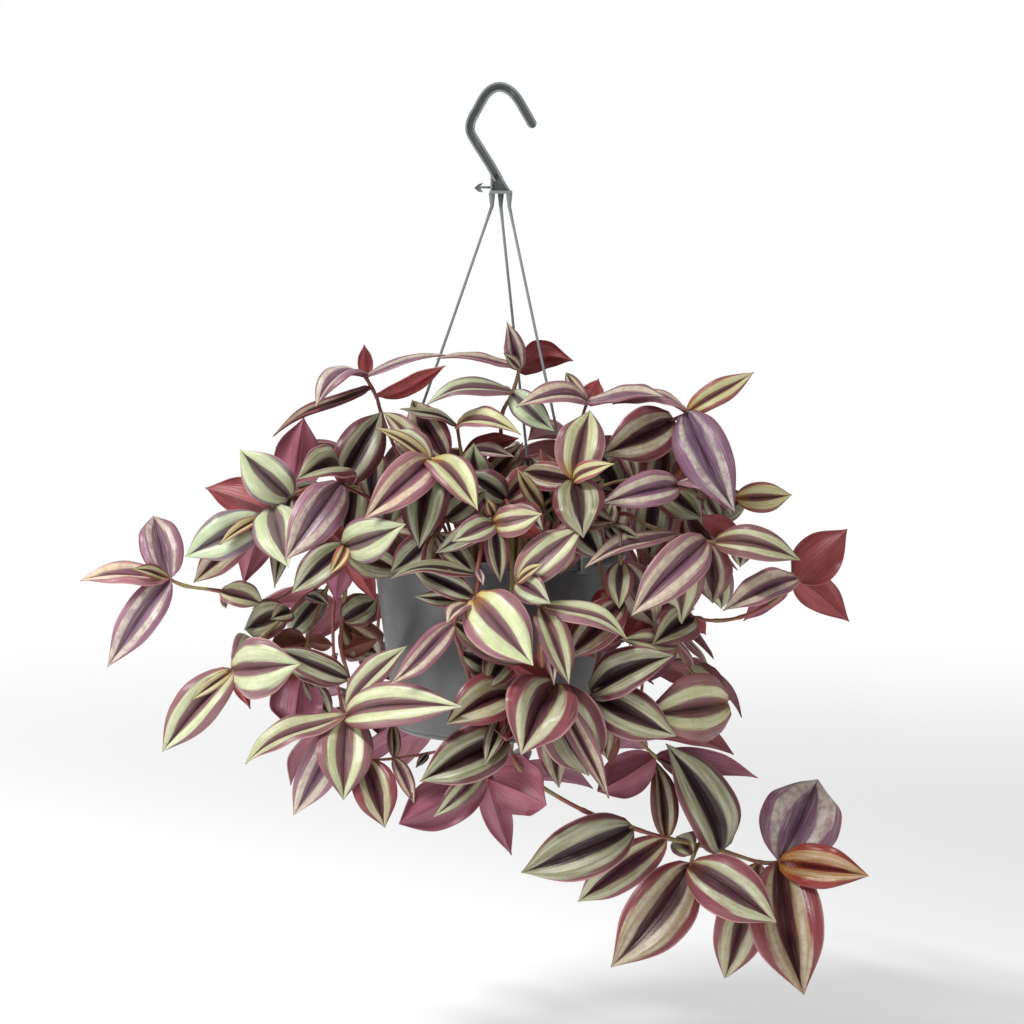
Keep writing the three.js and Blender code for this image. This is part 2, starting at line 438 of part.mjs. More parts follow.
// A plate cut from an outline in x and h, from y = front to y = back
function plate(outline, front, back) {
  const rings = [front, back].map((y) => outline.map((p) => place(p).setY(y)));
  return toSolid(loft(rings));
}

function gusset() {
  const { left, right, top, slope_x: slope, bottom } = GUSSET;
  const web = plate([[left, bottom], [right, bottom], [slope, top], [left, top]], -WEB / 2, WEB / 2);
  const half = BAR_DEPTH / 2;
  const leftFlange = plate(
    [[left, bottom], [left + FLANGE, bottom], [left + FLANGE, top], [left, top]], -half, half);
  const rightFlange = plate(
    [[right - SLANT_FLANGE, bottom], [right, bottom], [slope, top], [slope - SLANT_FLANGE, top]], -half, half);
  const base = plate([
    [PLATE.left, PLATE.bottom], [PLATE.right, PLATE.bottom],
    [PLATE.right, PLATE.top], [PLATE.left, PLATE.top],
  ], -PLATE.depth / 2, PLATE.depth / 2);
  return [web, leftFlange, rightFlange, base];
}

// The C-shaped clip round the lip, in its own radial plane
function clip(bearing) {
  const inside = RIM_RADIUS + CLIP_SLACK;
  const outside = inside + CLIP_WALL;
  const under = -LIP_DEPTH - CLIP_SLACK;
  const wallRadius = potOuterRadius(-LIP_DEPTH) + CLIP_SLACK;
  const outline = [
    [RIM_RADIUS - CLIP_REACH, CLIP_SLACK], [inside, CLIP_SLACK], [inside, under], [wallRadius, under],
    [wallRadius, under - CLIP_WALL], [outside, under - CLIP_WALL], [outside, CLIP_SLACK + CLIP_WALL / 2],
    [inside, CLIP_SLACK + CLIP_WALL], [RIM_RADIUS - CLIP_REACH, CLIP_SLACK + CLIP_WALL],
  ];
  const out = bearingPoint(bearing, 1, 0);
  const side = vec(-out.y, out.x, 0);
  const rings = [-CLIP_WIDTH / 2, CLIP_WIDTH / 2].map((offset) => outline.map(([radius, z]) => (
    vec(0, 0, z).addScaledVector(out, radius).addScaledVector(side, offset)
  )));
  return toSolid(loft(rings));
}

// One strand: a tapered leg under the plate, then a thin round strand to the clip
function strandRoute(index) {
  const top = place(STRAND_ROOTS[index]).setY(STRAND_DEPTHS[index]);
  const leg = top.clone().setZ(top.z - LEG_LENGTH);
  const end = bearingPoint(STRAND_BEARINGS[index], RIM_RADIUS - STRAND_INSET, GAP + CLIP_WALL);
  const points = [top.clone().setZ(top.z + PLATE.top - PLATE.bottom), top, leg];
  for (const t of STRAND_STEPS) {
    const point = leg.clone().lerp(end, t);
    point.z -= Math.sin(Math.PI * t) * STRAND_SAG;
    points.push(point);
  }
  points.push(end);
  return points;
}

function strand(index) {
  return toSolid(tube(strandRoute(index), STRAND_RADII, STRAND_SIDES));
}

function hanger() {
  const pieces = [hookBar(), ...gusset(), plate(BARB, -BARB_DEPTH / 2, BARB_DEPTH / 2)];
  STRAND_BEARINGS.forEach((bearing, index) => pieces.push(strand(index), clip(bearing)));
  return join(pieces);
}

// ---- leafy stems ----
// A point on the smooth curve through the points, at a place counted in points
function curvePoint(points, at) {
  const last = points.length - 1;
  const i = Math.min(Math.floor(at), last - 1);
  const t = at - i;
  const p0 = points[Math.max(i - 1, 0)];
  const p1 = points[i];
  const p2 = points[i + 1];
  const p3 = points[Math.min(i + 2, last)];
  const curve = (a, b, c, d) => 0.5 * (
    2 * b + (c - a) * t + (2 * a - 5 * b + 4 * c - d) * t ** 2 + (3 * b - a - 3 * c + d) * t ** 3
  );
  const along = (axis) => curve(p0[axis], p1[axis], p2[axis], p3[axis]);
  return vec(along("x"), along("y"), along("z"));
}

// The root of a stem: straight up through the growing medium, then leaning over the rim
function rootPoints(root, towards) {
  const [bearing, radius] = root;
  const bottom = -SOIL_DROP - HOLE_DEPTH + GAP;
  const up = bearingPoint(bearing, radius, 0);
  const lean = up.clone().lerp(towards, 0.25).setZ(Math.max(towards.z * 0.5, 7));
  return [up.clone().setZ(bottom), up.clone().setZ(-SOIL_DROP + 1), lean];
}

// Cuts the curve into pieces of about STEM_SEGMENT, with a corner at the foot of each leaf, and adds the bud
function stemRoute({ points, radius, blades }) {
  const places = new Set(blades.map((blade) => blade.at));
  for (let i = 0; i + 1 < points.length; i += 1) {
    const pieces = Math.max(1, Math.ceil(points[i].distanceTo(points[i + 1]) / STEM_SEGMENT - 0.3));
    for (let k = 0; k < pieces; k += 1) {
      places.add(i + k / pieces);
    }
  }
  places.add(points.length - 1);
  const route = [...places].sort((p, q) => p - q).map((at) => curvePoint(points, at));
  const end = route[route.length - 1];
  const growth = end.clone().sub(route[route.length - 2]).normalize();
  route.push(end.clone().addScaledVector(growth, BUD_LENGTH * radius));
  return route;
}

// Across and out of a blade whose midrib runs along, turned from the front by turn degrees
function faceNormal(along, base, turn) {
  const front = EYE.clone().sub(base).normalize();
  const facing = front.addScaledVector(along, -front.dot(along)).normalize();
  const upward = along.x < 0 ? along.clone().cross(facing) : facing.clone().cross(along);
  return facing.multiplyScalar(Math.cos(rad(turn))).addScaledVector(upward, Math.sin(rad(turn)));
}

function drawnStem([name, root, radius, via, leaves]) {
  const route = via.map(place);
  const rooted = root.length > 0;
  const points = rooted ? [...rootPoints(root, route[0]), ...route] : route;
  const skip = points.length - route.length;
  const blades = leaves.map(([at, x, h, f, width, turn, arch]) => {
    const base = curvePoint(points, skip + at);
    const tip = place([x, h, f]);
    const along = tip.clone().sub(base).normalize();
    return { base, tip, normal: faceNormal(along, base, turn), width, arch, front: f, at: skip + at };
  });
  return { name: `stem_${name}`, rooted, radius, points, blades };
}

// Leaves of a stem that follows the rule: one at each node, by turns left and right, and three at the tip
function ruledBlades(points, out, side, size) {
  const blades = [];
  const last = points.length - 1;
  for (let node = FIRST_NODE; node <= last; node += 1) {
    const spreads = node < last ? [node % 2 ? 0.95 : -0.95] : [-1.1, 0.15, 1.2];
    for (const spread of spreads) {
      const base = points[node].clone();
      const direction = out.clone().multiplyScalar(mix(0.5, 0.9, random()))
        .addScaledVector(side, spread * mix(0.75, 1.1, random()))
        .addScaledVector(vec(0, 0, 1), mix(-0.75, 0.1, random())).normalize();
      const length = size * mix(52, 68, random());
      const normal = out.clone().multiplyScalar(0.75).addScaledVector(vec(0, 0, 1), mix(0.5, 1, random()));
      normal.addScaledVector(direction, -normal.dot(direction)).normalize();
      const tip = base.clone().addScaledVector(direction, length);
      const width = length * mix(0.4, 0.48, random());
      blades.push({ base, tip, normal, width, arch: mix(0.06, 0.12, random()), front: -999, at: node });
    }
  }
  return blades;
}

function ruledStem({ name, count, from, to, radius, drops, rises, spreads, size }, index) {
  const bearing = mix(from, to, index / (count - 1)) + mix(-3, 3, random());
  const out = bearingPoint(bearing, 1, 0);
  const side = vec(-out.y, out.x, 0);
  const sway = mix(-0.2, 0.2, random());
  const at = (distance, height, drift) => (
    vec(0, 0, height).addScaledVector(out, distance).addScaledVector(side, drift)
  );
  const route = [];
  if (drops) {
    const drop = mix(...drops, random());
    const spread = mix(...spreads, random());
    route.push(at(86, 15, 4 * sway), at(spread, -6, 14 * sway));
    const nodes = Math.max(2, Math.round(drop / NODE_DISTANCE));
    for (let n = 1; n <= nodes; n += 1) {
      route.push(at(spread + 8 * Math.sin(n), -6 - (drop * n) / nodes, (14 + 14 * n) * sway));
    }
  } else {
    const rise = mix(...rises, random());
    const spread = mix(...spreads, random());
    route.push(at(radius + 6, rise * 0.45, 10 * sway), at(mix(radius, spread, 0.5), rise * 0.85, 30 * sway));
    route.push(at(spread, rise, 60 * sway));
  }
  const points = [...rootPoints([bearing, radius + mix(-2, 2, random())], route[0]), ...route];
  const blades = ruledBlades(points, out, side, size);
  return { name: `stem_${name}_${index + 1}`, rooted: true, radius: RULED_RADIUS, points, blades };
}

// Sections of a blade, as [across, up], for a half width
const bladeSection = (half) => [[half, half * BLADE_FOLD], [-half, half * BLADE_FOLD], [0, -BLADE_KEEL]];
// The room a blade needs: its section with CLEARANCE round it
const roomSection = (half) => [
  [half + 1.2 * CLEARANCE, half * BLADE_FOLD + 0.2], [0, half * BLADE_FOLD + CLEARANCE],
  [-half - 1.2 * CLEARANCE, half * BLADE_FOLD + 0.2], [-half / 2, -BLADE_KEEL - CLEARANCE],
  [half / 2, -BLADE_KEEL - CLEARANCE],
];

// Half the width of a blade, as a share of its greatest, at a place from 0 at the foot to 1 at the tip
const bladeOutline = (t) => 3.098 * t ** 0.65 * (1 - t) ** 1.05;

// Closed blade with a foot inside the stem, a section at each station, and a tip
function bladeMesh({ base, tip, normal, width, arch }, section = bladeSection) {
  const length = base.distanceTo(tip);
  const along = tip.clone().sub(base).normalize();
  const side = along.clone().cross(normal);
  const points = [base.clone().addScaledVector(along, -BLADE_SINK)];
  for (const t of BLADE_STATIONS) {
    const middle = base.clone().addScaledVector(along, length * t)
      .addScaledVector(normal, 4 * arch * length * t * (1 - t));
    for (const [across, up] of section((bladeOutline(t) * width) / 2)) {
      points.push(middle.clone().addScaledVector(side, across).addScaledVector(normal, up));
    }
  }
  points.push(tip.clone());
  const last = points.length - 1;
  const sides = section(1).length;
  const faces = [];
  for (let k = 0; k < sides; k += 1) {
    const next = (k + 1) % sides;
    faces.push([0, 1 + next, 1 + k], [last, last - sides + k, last - sides + next]);
    for (let s = 0; s + 1 < BLADE_STATIONS.length; s += 1) {
      const p = 1 + sides * s + k;
      const q = 1 + sides * s + next;
      faces.push([p, q, q + sides], [p, q + sides, p + sides]);
    }
  }
  return { points, faces };
}

// ---- keeping the blades clear of each other ----
function boxOf(points, margin) {
  return new THREE.Box3().setFromPoints(points).expandByScalar(margin);
}

function edgeHitsTriangle(p, q, a, b, c) {
  const dx = q.x - p.x;
  const dy = q.y - p.y;
  const dz = q.z - p.z;
  const e1x = b.x - a.x;
  const e1y = b.y - a.y;
  const e1z = b.z - a.z;
  const e2x = c.x - a.x;
  const e2y = c.y - a.y;
  const e2z = c.z - a.z;
  const hx = dy * e2z - dz * e2y;
  const hy = dz * e2x - dx * e2z;
  const hz = dx * e2y - dy * e2x;
  const det = e1x * hx + e1y * hy + e1z * hz;
  if (Math.abs(det) < 1e-12) {
    return false;
  }
  const sx = p.x - a.x;
  const sy = p.y - a.y;
  const sz = p.z - a.z;
  const u = (sx * hx + sy * hy + sz * hz) / det;
  if (u < 0 || u > 1) {
    return false;
  }
  const qx = sy * e1z - sz * e1y;
  const qy = sz * e1x - sx * e1z;
  const qz = sx * e1y - sy * e1x;
  const v = (dx * qx + dy * qy + dz * qz) / det;
  if (v < 0 || u + v > 1) {
    return false;
  }
  const t = (e2x * qx + e2y * qy + e2z * qz) / det;
  return t >= 0 && t <= 1;
}

function edgesOf(faces) {
  const edges = new Map();
  for (const face of faces) {
    face.forEach((from, i) => {
      const to = face[(i + 1) % 3];
      edges.set(from < to ? `${from},${to}` : `${to},${from}`, [from, to]);
    });
  }
  return [...edges.values()];
}

function obstacle(owner, points, faces, extra = {}) {
  return { owner, points, faces, edges: edgesOf(faces), box: boxOf(points, 0.2), ...extra };
}

function crossing(one, other) {
  const hits = (from, onto) => from.edges.some(([a, b]) => onto.faces.some((face) => (
    edgeHitsTriangle(from.points[a], from.points[b], ...face.map((i) => onto.points[i]))
  )));
  return hits(one, other) || hits(other, one);
}

function geometryObstacle(owner, geometry) {
  const position = geometry.attributes.position;
  const points = Array.from({ length: position.count }, (_, i) => (
    vec(0, 0, 0).fromBufferAttribute(position, i)
  ));
  const index = [...geometry.index.array];
  const faces = Array.from({ length: index.length / 3 }, (_, i) => index.slice(3 * i, 3 * i + 3));
  return obstacle(owner, points, faces);
}

// Each straight piece of a tube as an obstacle of its own
function tubeObstacles(owner, points, radii, sides) {
  return points.slice(1).map((point, i) => (
    geometryObstacle(owner, tube([points[i], point], [radii[i], radii[i + 1]], sides))
  ));
}

// Small turns of a blade about its base, the least visible first
function bladeChoices() {
  const choices = [];
  for (const lift of [0, 0.1, -0.1, 0.2, -0.2, 0.32, -0.32, 0.45, -0.45, 0.6]) {
    for (const swing of [0, 0.09, -0.09, 0.2, -0.2]) {
      for (const twist of [0, 22, -22]) {
        const cost = Math.abs(lift) * 0.7 + Math.abs(swing) * 1.6 + Math.abs(twist) / 110;
        choices.push({ lift, swing, twist, cost });
      }
    }
  }
  choices.sort((a, b) => a.cost - b.cost);
  return choices;
}

// Every choice is also a hair shorter than the one before, so no two have the same tip
function turnedBlade(blade, { lift, swing, twist }, order) {
  const length = blade.base.distanceTo(blade.tip);
  const along = blade.tip.clone().sub(blade.base).normalize();
  const side = along.clone().cross(blade.normal);
  const aim = along.clone().addScaledVector(blade.normal, lift).addScaledVector(side, swing).normalize();
  const face = blade.normal.clone().addScaledVector(side, Math.tan(rad(twist)));
  const normal = face.addScaledVector(aim, -face.dot(aim)).normalize();
  const tip = blade.base.clone().addScaledVector(aim, length * (1 - 0.0008 * order));
  return { ...blade, tip, normal };
}

function nearPot(point) {
  const across = Math.hypot(point.x, point.y);
  if (point.z > 3 || point.z < -POT_HEIGHT - 2) {
    return false;
  }
  const wall = point.z > -LIP_DEPTH - 1 ? RIM_RADIUS : potOuterRadius(point.z);
  const inWall = across < wall + POT_ROOM && across > wall - WALL - LIP_WIDTH - POT_ROOM;
  return inWall || (across < wall && point.z < -SOIL_DROP + POT_ROOM);
}

// Settles each blade, front ones first, at its first choice that clears all others; drops it if none does
function settleBlades(stems, fixed) {
  const obstacles = [...fixed];
  stems.forEach((stem) => {
    const route = stemRoute(stem);
    const radii = route.map(() => stem.radius + STEM_ROOM);
    obstacles.push(...tubeObstacles(stem.name, route, radii, OBSTACLE_SIDES));
  });
  const queue = stems.flatMap((stem) => stem.blades.map((blade) => ({ stem, blade })));
  queue.sort((a, b) => b.blade.front - a.blade.front);
  const choices = bladeChoices();
  const settled = new Map(stems.map((stem) => [stem, []]));
  for (const { stem, blade } of queue) {
    const order = choices.findIndex((choice, i) => isClear(turnedBlade(blade, choice, i), stem, obstacles));
    if (order < 0) {
      continue;
    }
    const turned = turnedBlade(blade, choices[order], order);
    const mesh = bladeMesh(turned);
    const entry = obstacle(stem.name, mesh.points, mesh.faces, { blade: turned });
    obstacles.push(entry);
    settled.get(stem).push(turned);
  }
  return settled;
}

function isClear(blade, stem, obstacles) {
  const full = bladeMesh(blade, roomSection);
  const body = obstacle(stem.name, full.points, full.faces);
  if (full.points.slice(6).some(nearPot)) {
    return false;
  }
  const slim = bladeMesh(blade);
  const outer = obstacle(stem.name, slim.points.slice(1), slim.faces
    .filter((face) => !face.includes(0)).map((face) => face.map((i) => i - 1)));
  return obstacles.every((other) => {
    if (!other.box.intersectsBox(body.box)) {
      return true;
    }
    if (other.owner !== stem.name) {
      return !crossing(body, other);
    }
    const atFoot = !other.blade && other.box.distanceToPoint(blade.base) < FOOT_ROOM;
    return atFoot || !crossing(outer, other);
  });
}

// ---- assembly ----
const drawn = STEMS.map(drawnStem);
const ruled = RULED_STEMS.flatMap((group) => (
  Array.from({ length: group.count }, (_, index) => ruledStem(group, index))
));
const stems = [...drawn, ...ruled];

const potGeometry = pot();
const fixedObstacles = [geometryObstacle("pot", potGeometry)];
STRAND_BEARINGS.forEach((bearing, index) => {
  const route = strandRoute(index);
  fixedObstacles.push(...tubeObstacles("hanger", route, route.map(() => 2 * STRAND_RADIUS), OBSTACLE_SIDES));
  fixedObstacles.push(geometryObstacle("hanger", fromSolid(clip(bearing))));
});
const settled = settleBlades(stems, fixedObstacles);

function stemSolid(stem) {
  const route = stemRoute(stem);
  const radii = route.map((_, i) => stem.radius * mix(1, STEM_TAPER, i / (route.length - 1)));
  const solids = [toSolid(tube(route, radii, STEM_SIDES))];
  for (const blade of settled.get(stem)) {
    const { points, faces } = bladeMesh(blade);
    solids.push(toSolid(buildGeometry(points, faces)));
  }
  return join(solids).asOriginal().simplify(FUSE_TOLERANCE);
}

const COLOURS = { pot: 0x55565a, growing_medium: 0x3a2c22, hanger: 0x4f5654, leaf: 0x8d7a76 };
const part = new THREE.Group();
part.name = "hanging_trailing_spiderwort";

function addNode(name, geometry, colour, roughness) {
  geometry.translate(0, 0, -SEAT_HEIGHT);
  const mesh = new THREE.Mesh(geometry, new THREE.MeshStandardMaterial({ color: colour, roughness }));
  mesh.name = name;
  part.add(mesh);
}

const roots = stems.filter((stem) => stem.rooted).map((stem) => ({
  x: stem.points[0].x, y: stem.points[0].y, radius: stem.radius,
}));
addNode("pot", potGeometry, COLOURS.pot, 0.5);
addNode("growing_medium", fromSolid(growingMedium(roots)), COLOURS.growing_medium, 1);
addNode("hanger", fromSolid(hanger()), COLOURS.hanger, 0.5);
for (const name of new Set(stems.map((stem) => stem.name))) {
  const pieces = stems.filter((stem) => stem.name === name).map(stemSolid);
  addNode(name, fromSolid(join(pieces)), COLOURS.leaf, 0.6);
}

export default part;
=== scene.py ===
"""Hanging pot of trailing spiderwort: a grey moulded pot, its growing medium, a three-strand hanger with a
hook, and the leafy stems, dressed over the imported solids. Metres, +Z up, -Y to the front, origin at the seat
of the hook."""
import math
import random

import bpy
import numpy as np
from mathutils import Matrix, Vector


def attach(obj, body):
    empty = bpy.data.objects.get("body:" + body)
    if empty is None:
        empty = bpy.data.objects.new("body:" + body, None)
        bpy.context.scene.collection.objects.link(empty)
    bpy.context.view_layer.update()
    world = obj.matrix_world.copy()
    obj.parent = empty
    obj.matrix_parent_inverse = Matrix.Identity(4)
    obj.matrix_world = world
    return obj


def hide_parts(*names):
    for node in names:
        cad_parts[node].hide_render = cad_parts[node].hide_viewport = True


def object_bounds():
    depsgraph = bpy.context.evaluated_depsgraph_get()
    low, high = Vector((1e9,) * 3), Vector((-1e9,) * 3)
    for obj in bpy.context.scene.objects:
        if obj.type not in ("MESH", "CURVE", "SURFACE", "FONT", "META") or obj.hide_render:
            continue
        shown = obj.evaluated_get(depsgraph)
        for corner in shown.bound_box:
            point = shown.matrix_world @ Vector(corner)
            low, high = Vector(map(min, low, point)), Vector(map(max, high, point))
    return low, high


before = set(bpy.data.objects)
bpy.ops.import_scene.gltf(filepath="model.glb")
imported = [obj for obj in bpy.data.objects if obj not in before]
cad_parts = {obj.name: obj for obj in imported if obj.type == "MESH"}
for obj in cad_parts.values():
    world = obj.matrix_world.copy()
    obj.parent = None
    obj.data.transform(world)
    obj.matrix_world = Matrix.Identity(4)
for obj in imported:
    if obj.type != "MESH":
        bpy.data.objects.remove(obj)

bl_info = {
    "name": "Hanging trailing spiderwort",
    "version": (1, 0, 0),
    "blender": (4, 5, 0),
    "location": "View3D > Sidebar > Spiderwort",
    "description": "Models a hanging pot of trailing spiderwort piece by piece",
    "category": "Object",
}

CAD_BOX = [list(corner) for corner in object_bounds()]
MM = 0.001
SEAT_HEIGHT = 262.8  # hook seat above the rim of the pot, mm
GAP = 0.3  # clearance where pieces touch, mm

# ---- pot and growing medium, in mm from the rim ----
RIM_RADIUS = 75
LIP_WIDTH = 2.6
LIP_DEPTH = 5.5
POT_HEIGHT = 105
POT_BASE_RADIUS = 59
FOOT_HEIGHT = 3.2
FOOT_INSET = 1.2
BASE_CORNER = 7
FOOT_CORNER = 2.1
WALL = 1.8
SOIL_DROP = 12
HOLE_DEPTH = 18
POT_SIDES = 160
BED_SIDES = 150
BED_RINGS = 46  # from the wall of the pot to its middle
BED_EDGE_DROP = 1.5  # how far the bed sinks at the wall, over BED_EDGE_RINGS
BED_EDGE_RINGS = 3
BED_LUMPS = ((16, 1), (5, 0.5))  # size, and height against the setting
CRUMBS = {"bark": (0.16, 4, (1, 0.55, 0.22)), "granule": (0.12, 9, (1, 0.8, 0.7))}  # knock, seed, proportions
CRUMB_SIZES = {"bark": (4, 9), "granule": (1.5, 3.2)}
CRUMB_SEED = 31
CRUMB_REACH = 66  # from the axis of the pot
BARK_SHARE = 0.45
MOULD_CREASE = 32  # degrees between faces past which an edge stays sharp
SOIL_CREASE = 40
LEAF_CREASE = 50

# ---- hanger, in mm; routes and outlines are (x, h) on the front elevation ----
BAR_HEIGHT = 5.5
BAR_DEPTH = 5.4
FLANGE = 1.2
WEB = 1.6
STRAND_BEARINGS = (168, 48, -72)
STRAND_STEPS = (0.05, 0.35, 0.7, 0.97)  # where a strand bends, from its leg to its clip
STRAND_SAG = 1.5
STRAND_INSET = 1.2  # where a strand ends on its clip, inside the edge of the rim
LEG_LENGTH = 6
CLIP_WIDTH = 9
CLIP_WALL = 1.8
CLIP_SLACK = 0.55  # between a clip and the lip
CLIP_REACH = 7.4  # how far a clip goes in over the rim
SLANT_FLANGE = 1.56  # the slanting flange, measured level
BARB_DEPTH = 1.4
PLATE_DEPTH = 9
HOOK_ROUTE = [
    (21.6, 243.9), (18.4, 249.5), (15.3, 255), (12.2, 260.2), (8.6, 264.4), (5, 266.7), (1.2, 267.5),
    (-2.6, 266.4), (-6, 263.6), (-8.7, 259.6), (-11.2, 254.9), (-14, 250), (-15.5, 245.4), (-15.2, 241),
    (-13, 236.8), (-10, 231.9), (-7, 227.2), (-4, 222.4), (-1.2, 217.6), (0.8, 213.8),
]
GUSSET = [(-3.8, 206.4), (8.4, 206.4), (1.6, 217.5), (-3.8, 217.5)]
PLATE = [(-4.3, 205.6), (8.9, 205.6), (8.9, 207.4), (-4.3, 207.4)]
BARB = [
    (-3, 208.5), (-9.6, 208.7), (-8, 206.3), (-10.6, 206.6), (-13.3, 208.9), (-10.6, 211.3), (-7.8, 211.9),
    (-9.6, 209.9), (-3, 209.9),
]
STRAND_ROOTS = [(-2.9, 204.5), (7.1, 204.5), (2.2, 204.5)]
STRAND_DEPTHS = (-0.8, -2.4, 2.4)
LEG_RADII = (1.8, 1.75, 1.05)  # down the tapered leg of a strand
STRAND_END_RADII = (1.3, 1.5)  # where it swells into its clip
HOOK_STEPS = 6  # rings of the bar for each point of its route
HOOK_END_SHARE = 0.3  # height of the last ring at the free end, against the bar

# ---- the front elevation: an eye at this distance, looking down by dip degrees at (x, z) ----
SHEET = {"eye": 1900, "dip": 6, "x": 8.7, "z": 21}

# ---- leafy stems ----
# Those that follow a rule: a trailing one goes over the rim, out by its spread and down by its drop, and the
# others rise and lean out
RULED_STEMS = [
    {"name": "back_trailing", "count": 8, "from": 212, "to": 330, "radius": 59, "size": 0.93,
     "drops": (70, 145), "spreads": (96, 121)},
    {"name": "back_arching", "count": 5, "from": 200, "to": 340, "radius": 38, "size": 1,
     "rises": (28, 54), "spreads": (70, 108)},
    {"name": "back_inner", "count": 5, "from": 212, "to": 346, "radius": 16, "size": 0.8,
     "rises": (34, 54), "spreads": (34, 60)},
    {"name": "side_trailing", "count": 2, "from": -12, "to": 8, "radius": 59, "size": 0.75,
     "drops": (24, 44), "spreads": (82, 90)},
]
RULED_RADIUS = 1.2
STEM_TAPER = 0.82  # radius at the tip of a stem, against its root
NODE_DISTANCE = 38  # along a trailing stem
FIRST_NODE = 4  # the first point of a ruled stem that bears a leaf
BUD_RINGS = ((0.8, 0.75), (1.4, 0.5), (1.8, 0.15))  # past the tip, and radius, against the stem's radius
SWELL_LENGTH = 1.5  # of the swelling on each side of a node
SHEATH_SHARE = 0.16  # how much thicker a stalk is in its sheath
LEAN_SHARE = 0.25  # how far a stem has leant out, and how high it is, where it leaves the growing medium
LEAN_HEIGHT = 7
BEARING_PLAY = 3
RADIUS_PLAY = 2
SWAY = 0.2
CREST = (86, 15)  # where a trailing stem passes over the rim: out and up
TRAIL_TOP = 6
TRAIL_DRIFT = 14
TRAIL_WAVE = 8
PAIR_SPREAD = 0.95
TIP_SPREADS = (-1.1, 0.15, 1.2)
RULED_LEAF = {  # aim out, to the side and up, length in mm, how it faces, width and arch against the length
    "out": (0.5, 0.9), "side": (0.75, 1.1), "rise": (-0.75, 0.1), "length": (52, 68), "face_out": 0.75,
    "face_up": (0.5, 1), "width": (0.4, 0.48), "arch": (0.06, 0.12),
}
STEM_SEED = 20461
TIP_MATCH = 0.02  # mm between a blade's tip here and the same tip on its solid

# The small turns that a blade may have on its solid, to clear the stems round it: lift and swing as slopes,
# and twist in degrees. The weights say how much each shows. Each later choice is a little shorter.
LIFTS = (0, 0.1, -0.1, 0.2, -0.2, 0.32, -0.32, 0.45, -0.45, 0.6)
SWINGS = (0, 0.09, -0.09, 0.2, -0.2)
TWISTS = (0, 22, -22)
LIFT_WEIGHT = 0.7
SWING_WEIGHT = 1.6
TWIST_DIVISOR = 110
CHOICE_SHRINK = 0.0008

# How a leaf is coloured, by how it grew, and for the dark, olive and bronze tones partly by painted shade
# given to leaves deep in the foliage: its silver band, middle, margin and underside, then how far from the
# midrib the band starts and ends (1 is the margin), how streaked the purple is, and how warm the foot is
TONES = {
    "pale": ("#BCC492", "#7E585E", "#875C62", "#9C5E6A", 0.31, 0.66, 0.15, 0.15),
    "mint": ("#BFCC9A", "#7A6869", "#84707A", "#935A6C", 0.30, 0.82, 0.10, 0.0),
    "pink": ("#CDBCA2", "#80546A", "#966474", "#A05C70", 0.34, 0.62, 0.35, 0.1),
    "dark": ("#80805D", "#352228", "#64343C", "#702A38", 0.32, 0.68, 0.10, 0.0),
    "lilac": ("#C0B2A4", "#7C5A70", "#92647C", "#A0647A", 0.40, 0.62, 0.60, 0.0),
    "plum": ("#968868", "#4A242C", "#7C3642", "#762A34", 0.36, 0.62, 0.30, 0.0),
    "wine": ("#A2A077", "#562E38", "#823E48", "#84343F", 0.30, 0.60, 0.20, 0.2),
    "olive": ("#7C7F59", "#3E282A", "#66363C", "#642E36", 0.30, 0.70, 0.10, 0.0),
    "bronze": ("#7A623C", "#42221E", "#60302C", "#744028", 0.30, 0.62, 0.15, 0.2),
    "red": ("#A58C64", "#6E2A32", "#883440", "#9A3A3C", 0.34, 0.60, 0.20, 0.1),
    "young": ("#C4BF7C", "#7E4E4A", "#9C5650", "#A04A42", 0.28, 0.70, 0.10, 0.7),
    "bright": ("#CBD296", "#80585E", "#905E66", "#9C4E54", 0.27, 0.66, 0.12, 0.8),
    "flame": ("#A47C44", "#7A2A24", "#8A322C", "#9E3A30", 0.24, 0.66, 0.20, 1.0),
}
RULED_TONES = ("pale", "pink", "dark", "plum", "mint", "lilac", "olive")

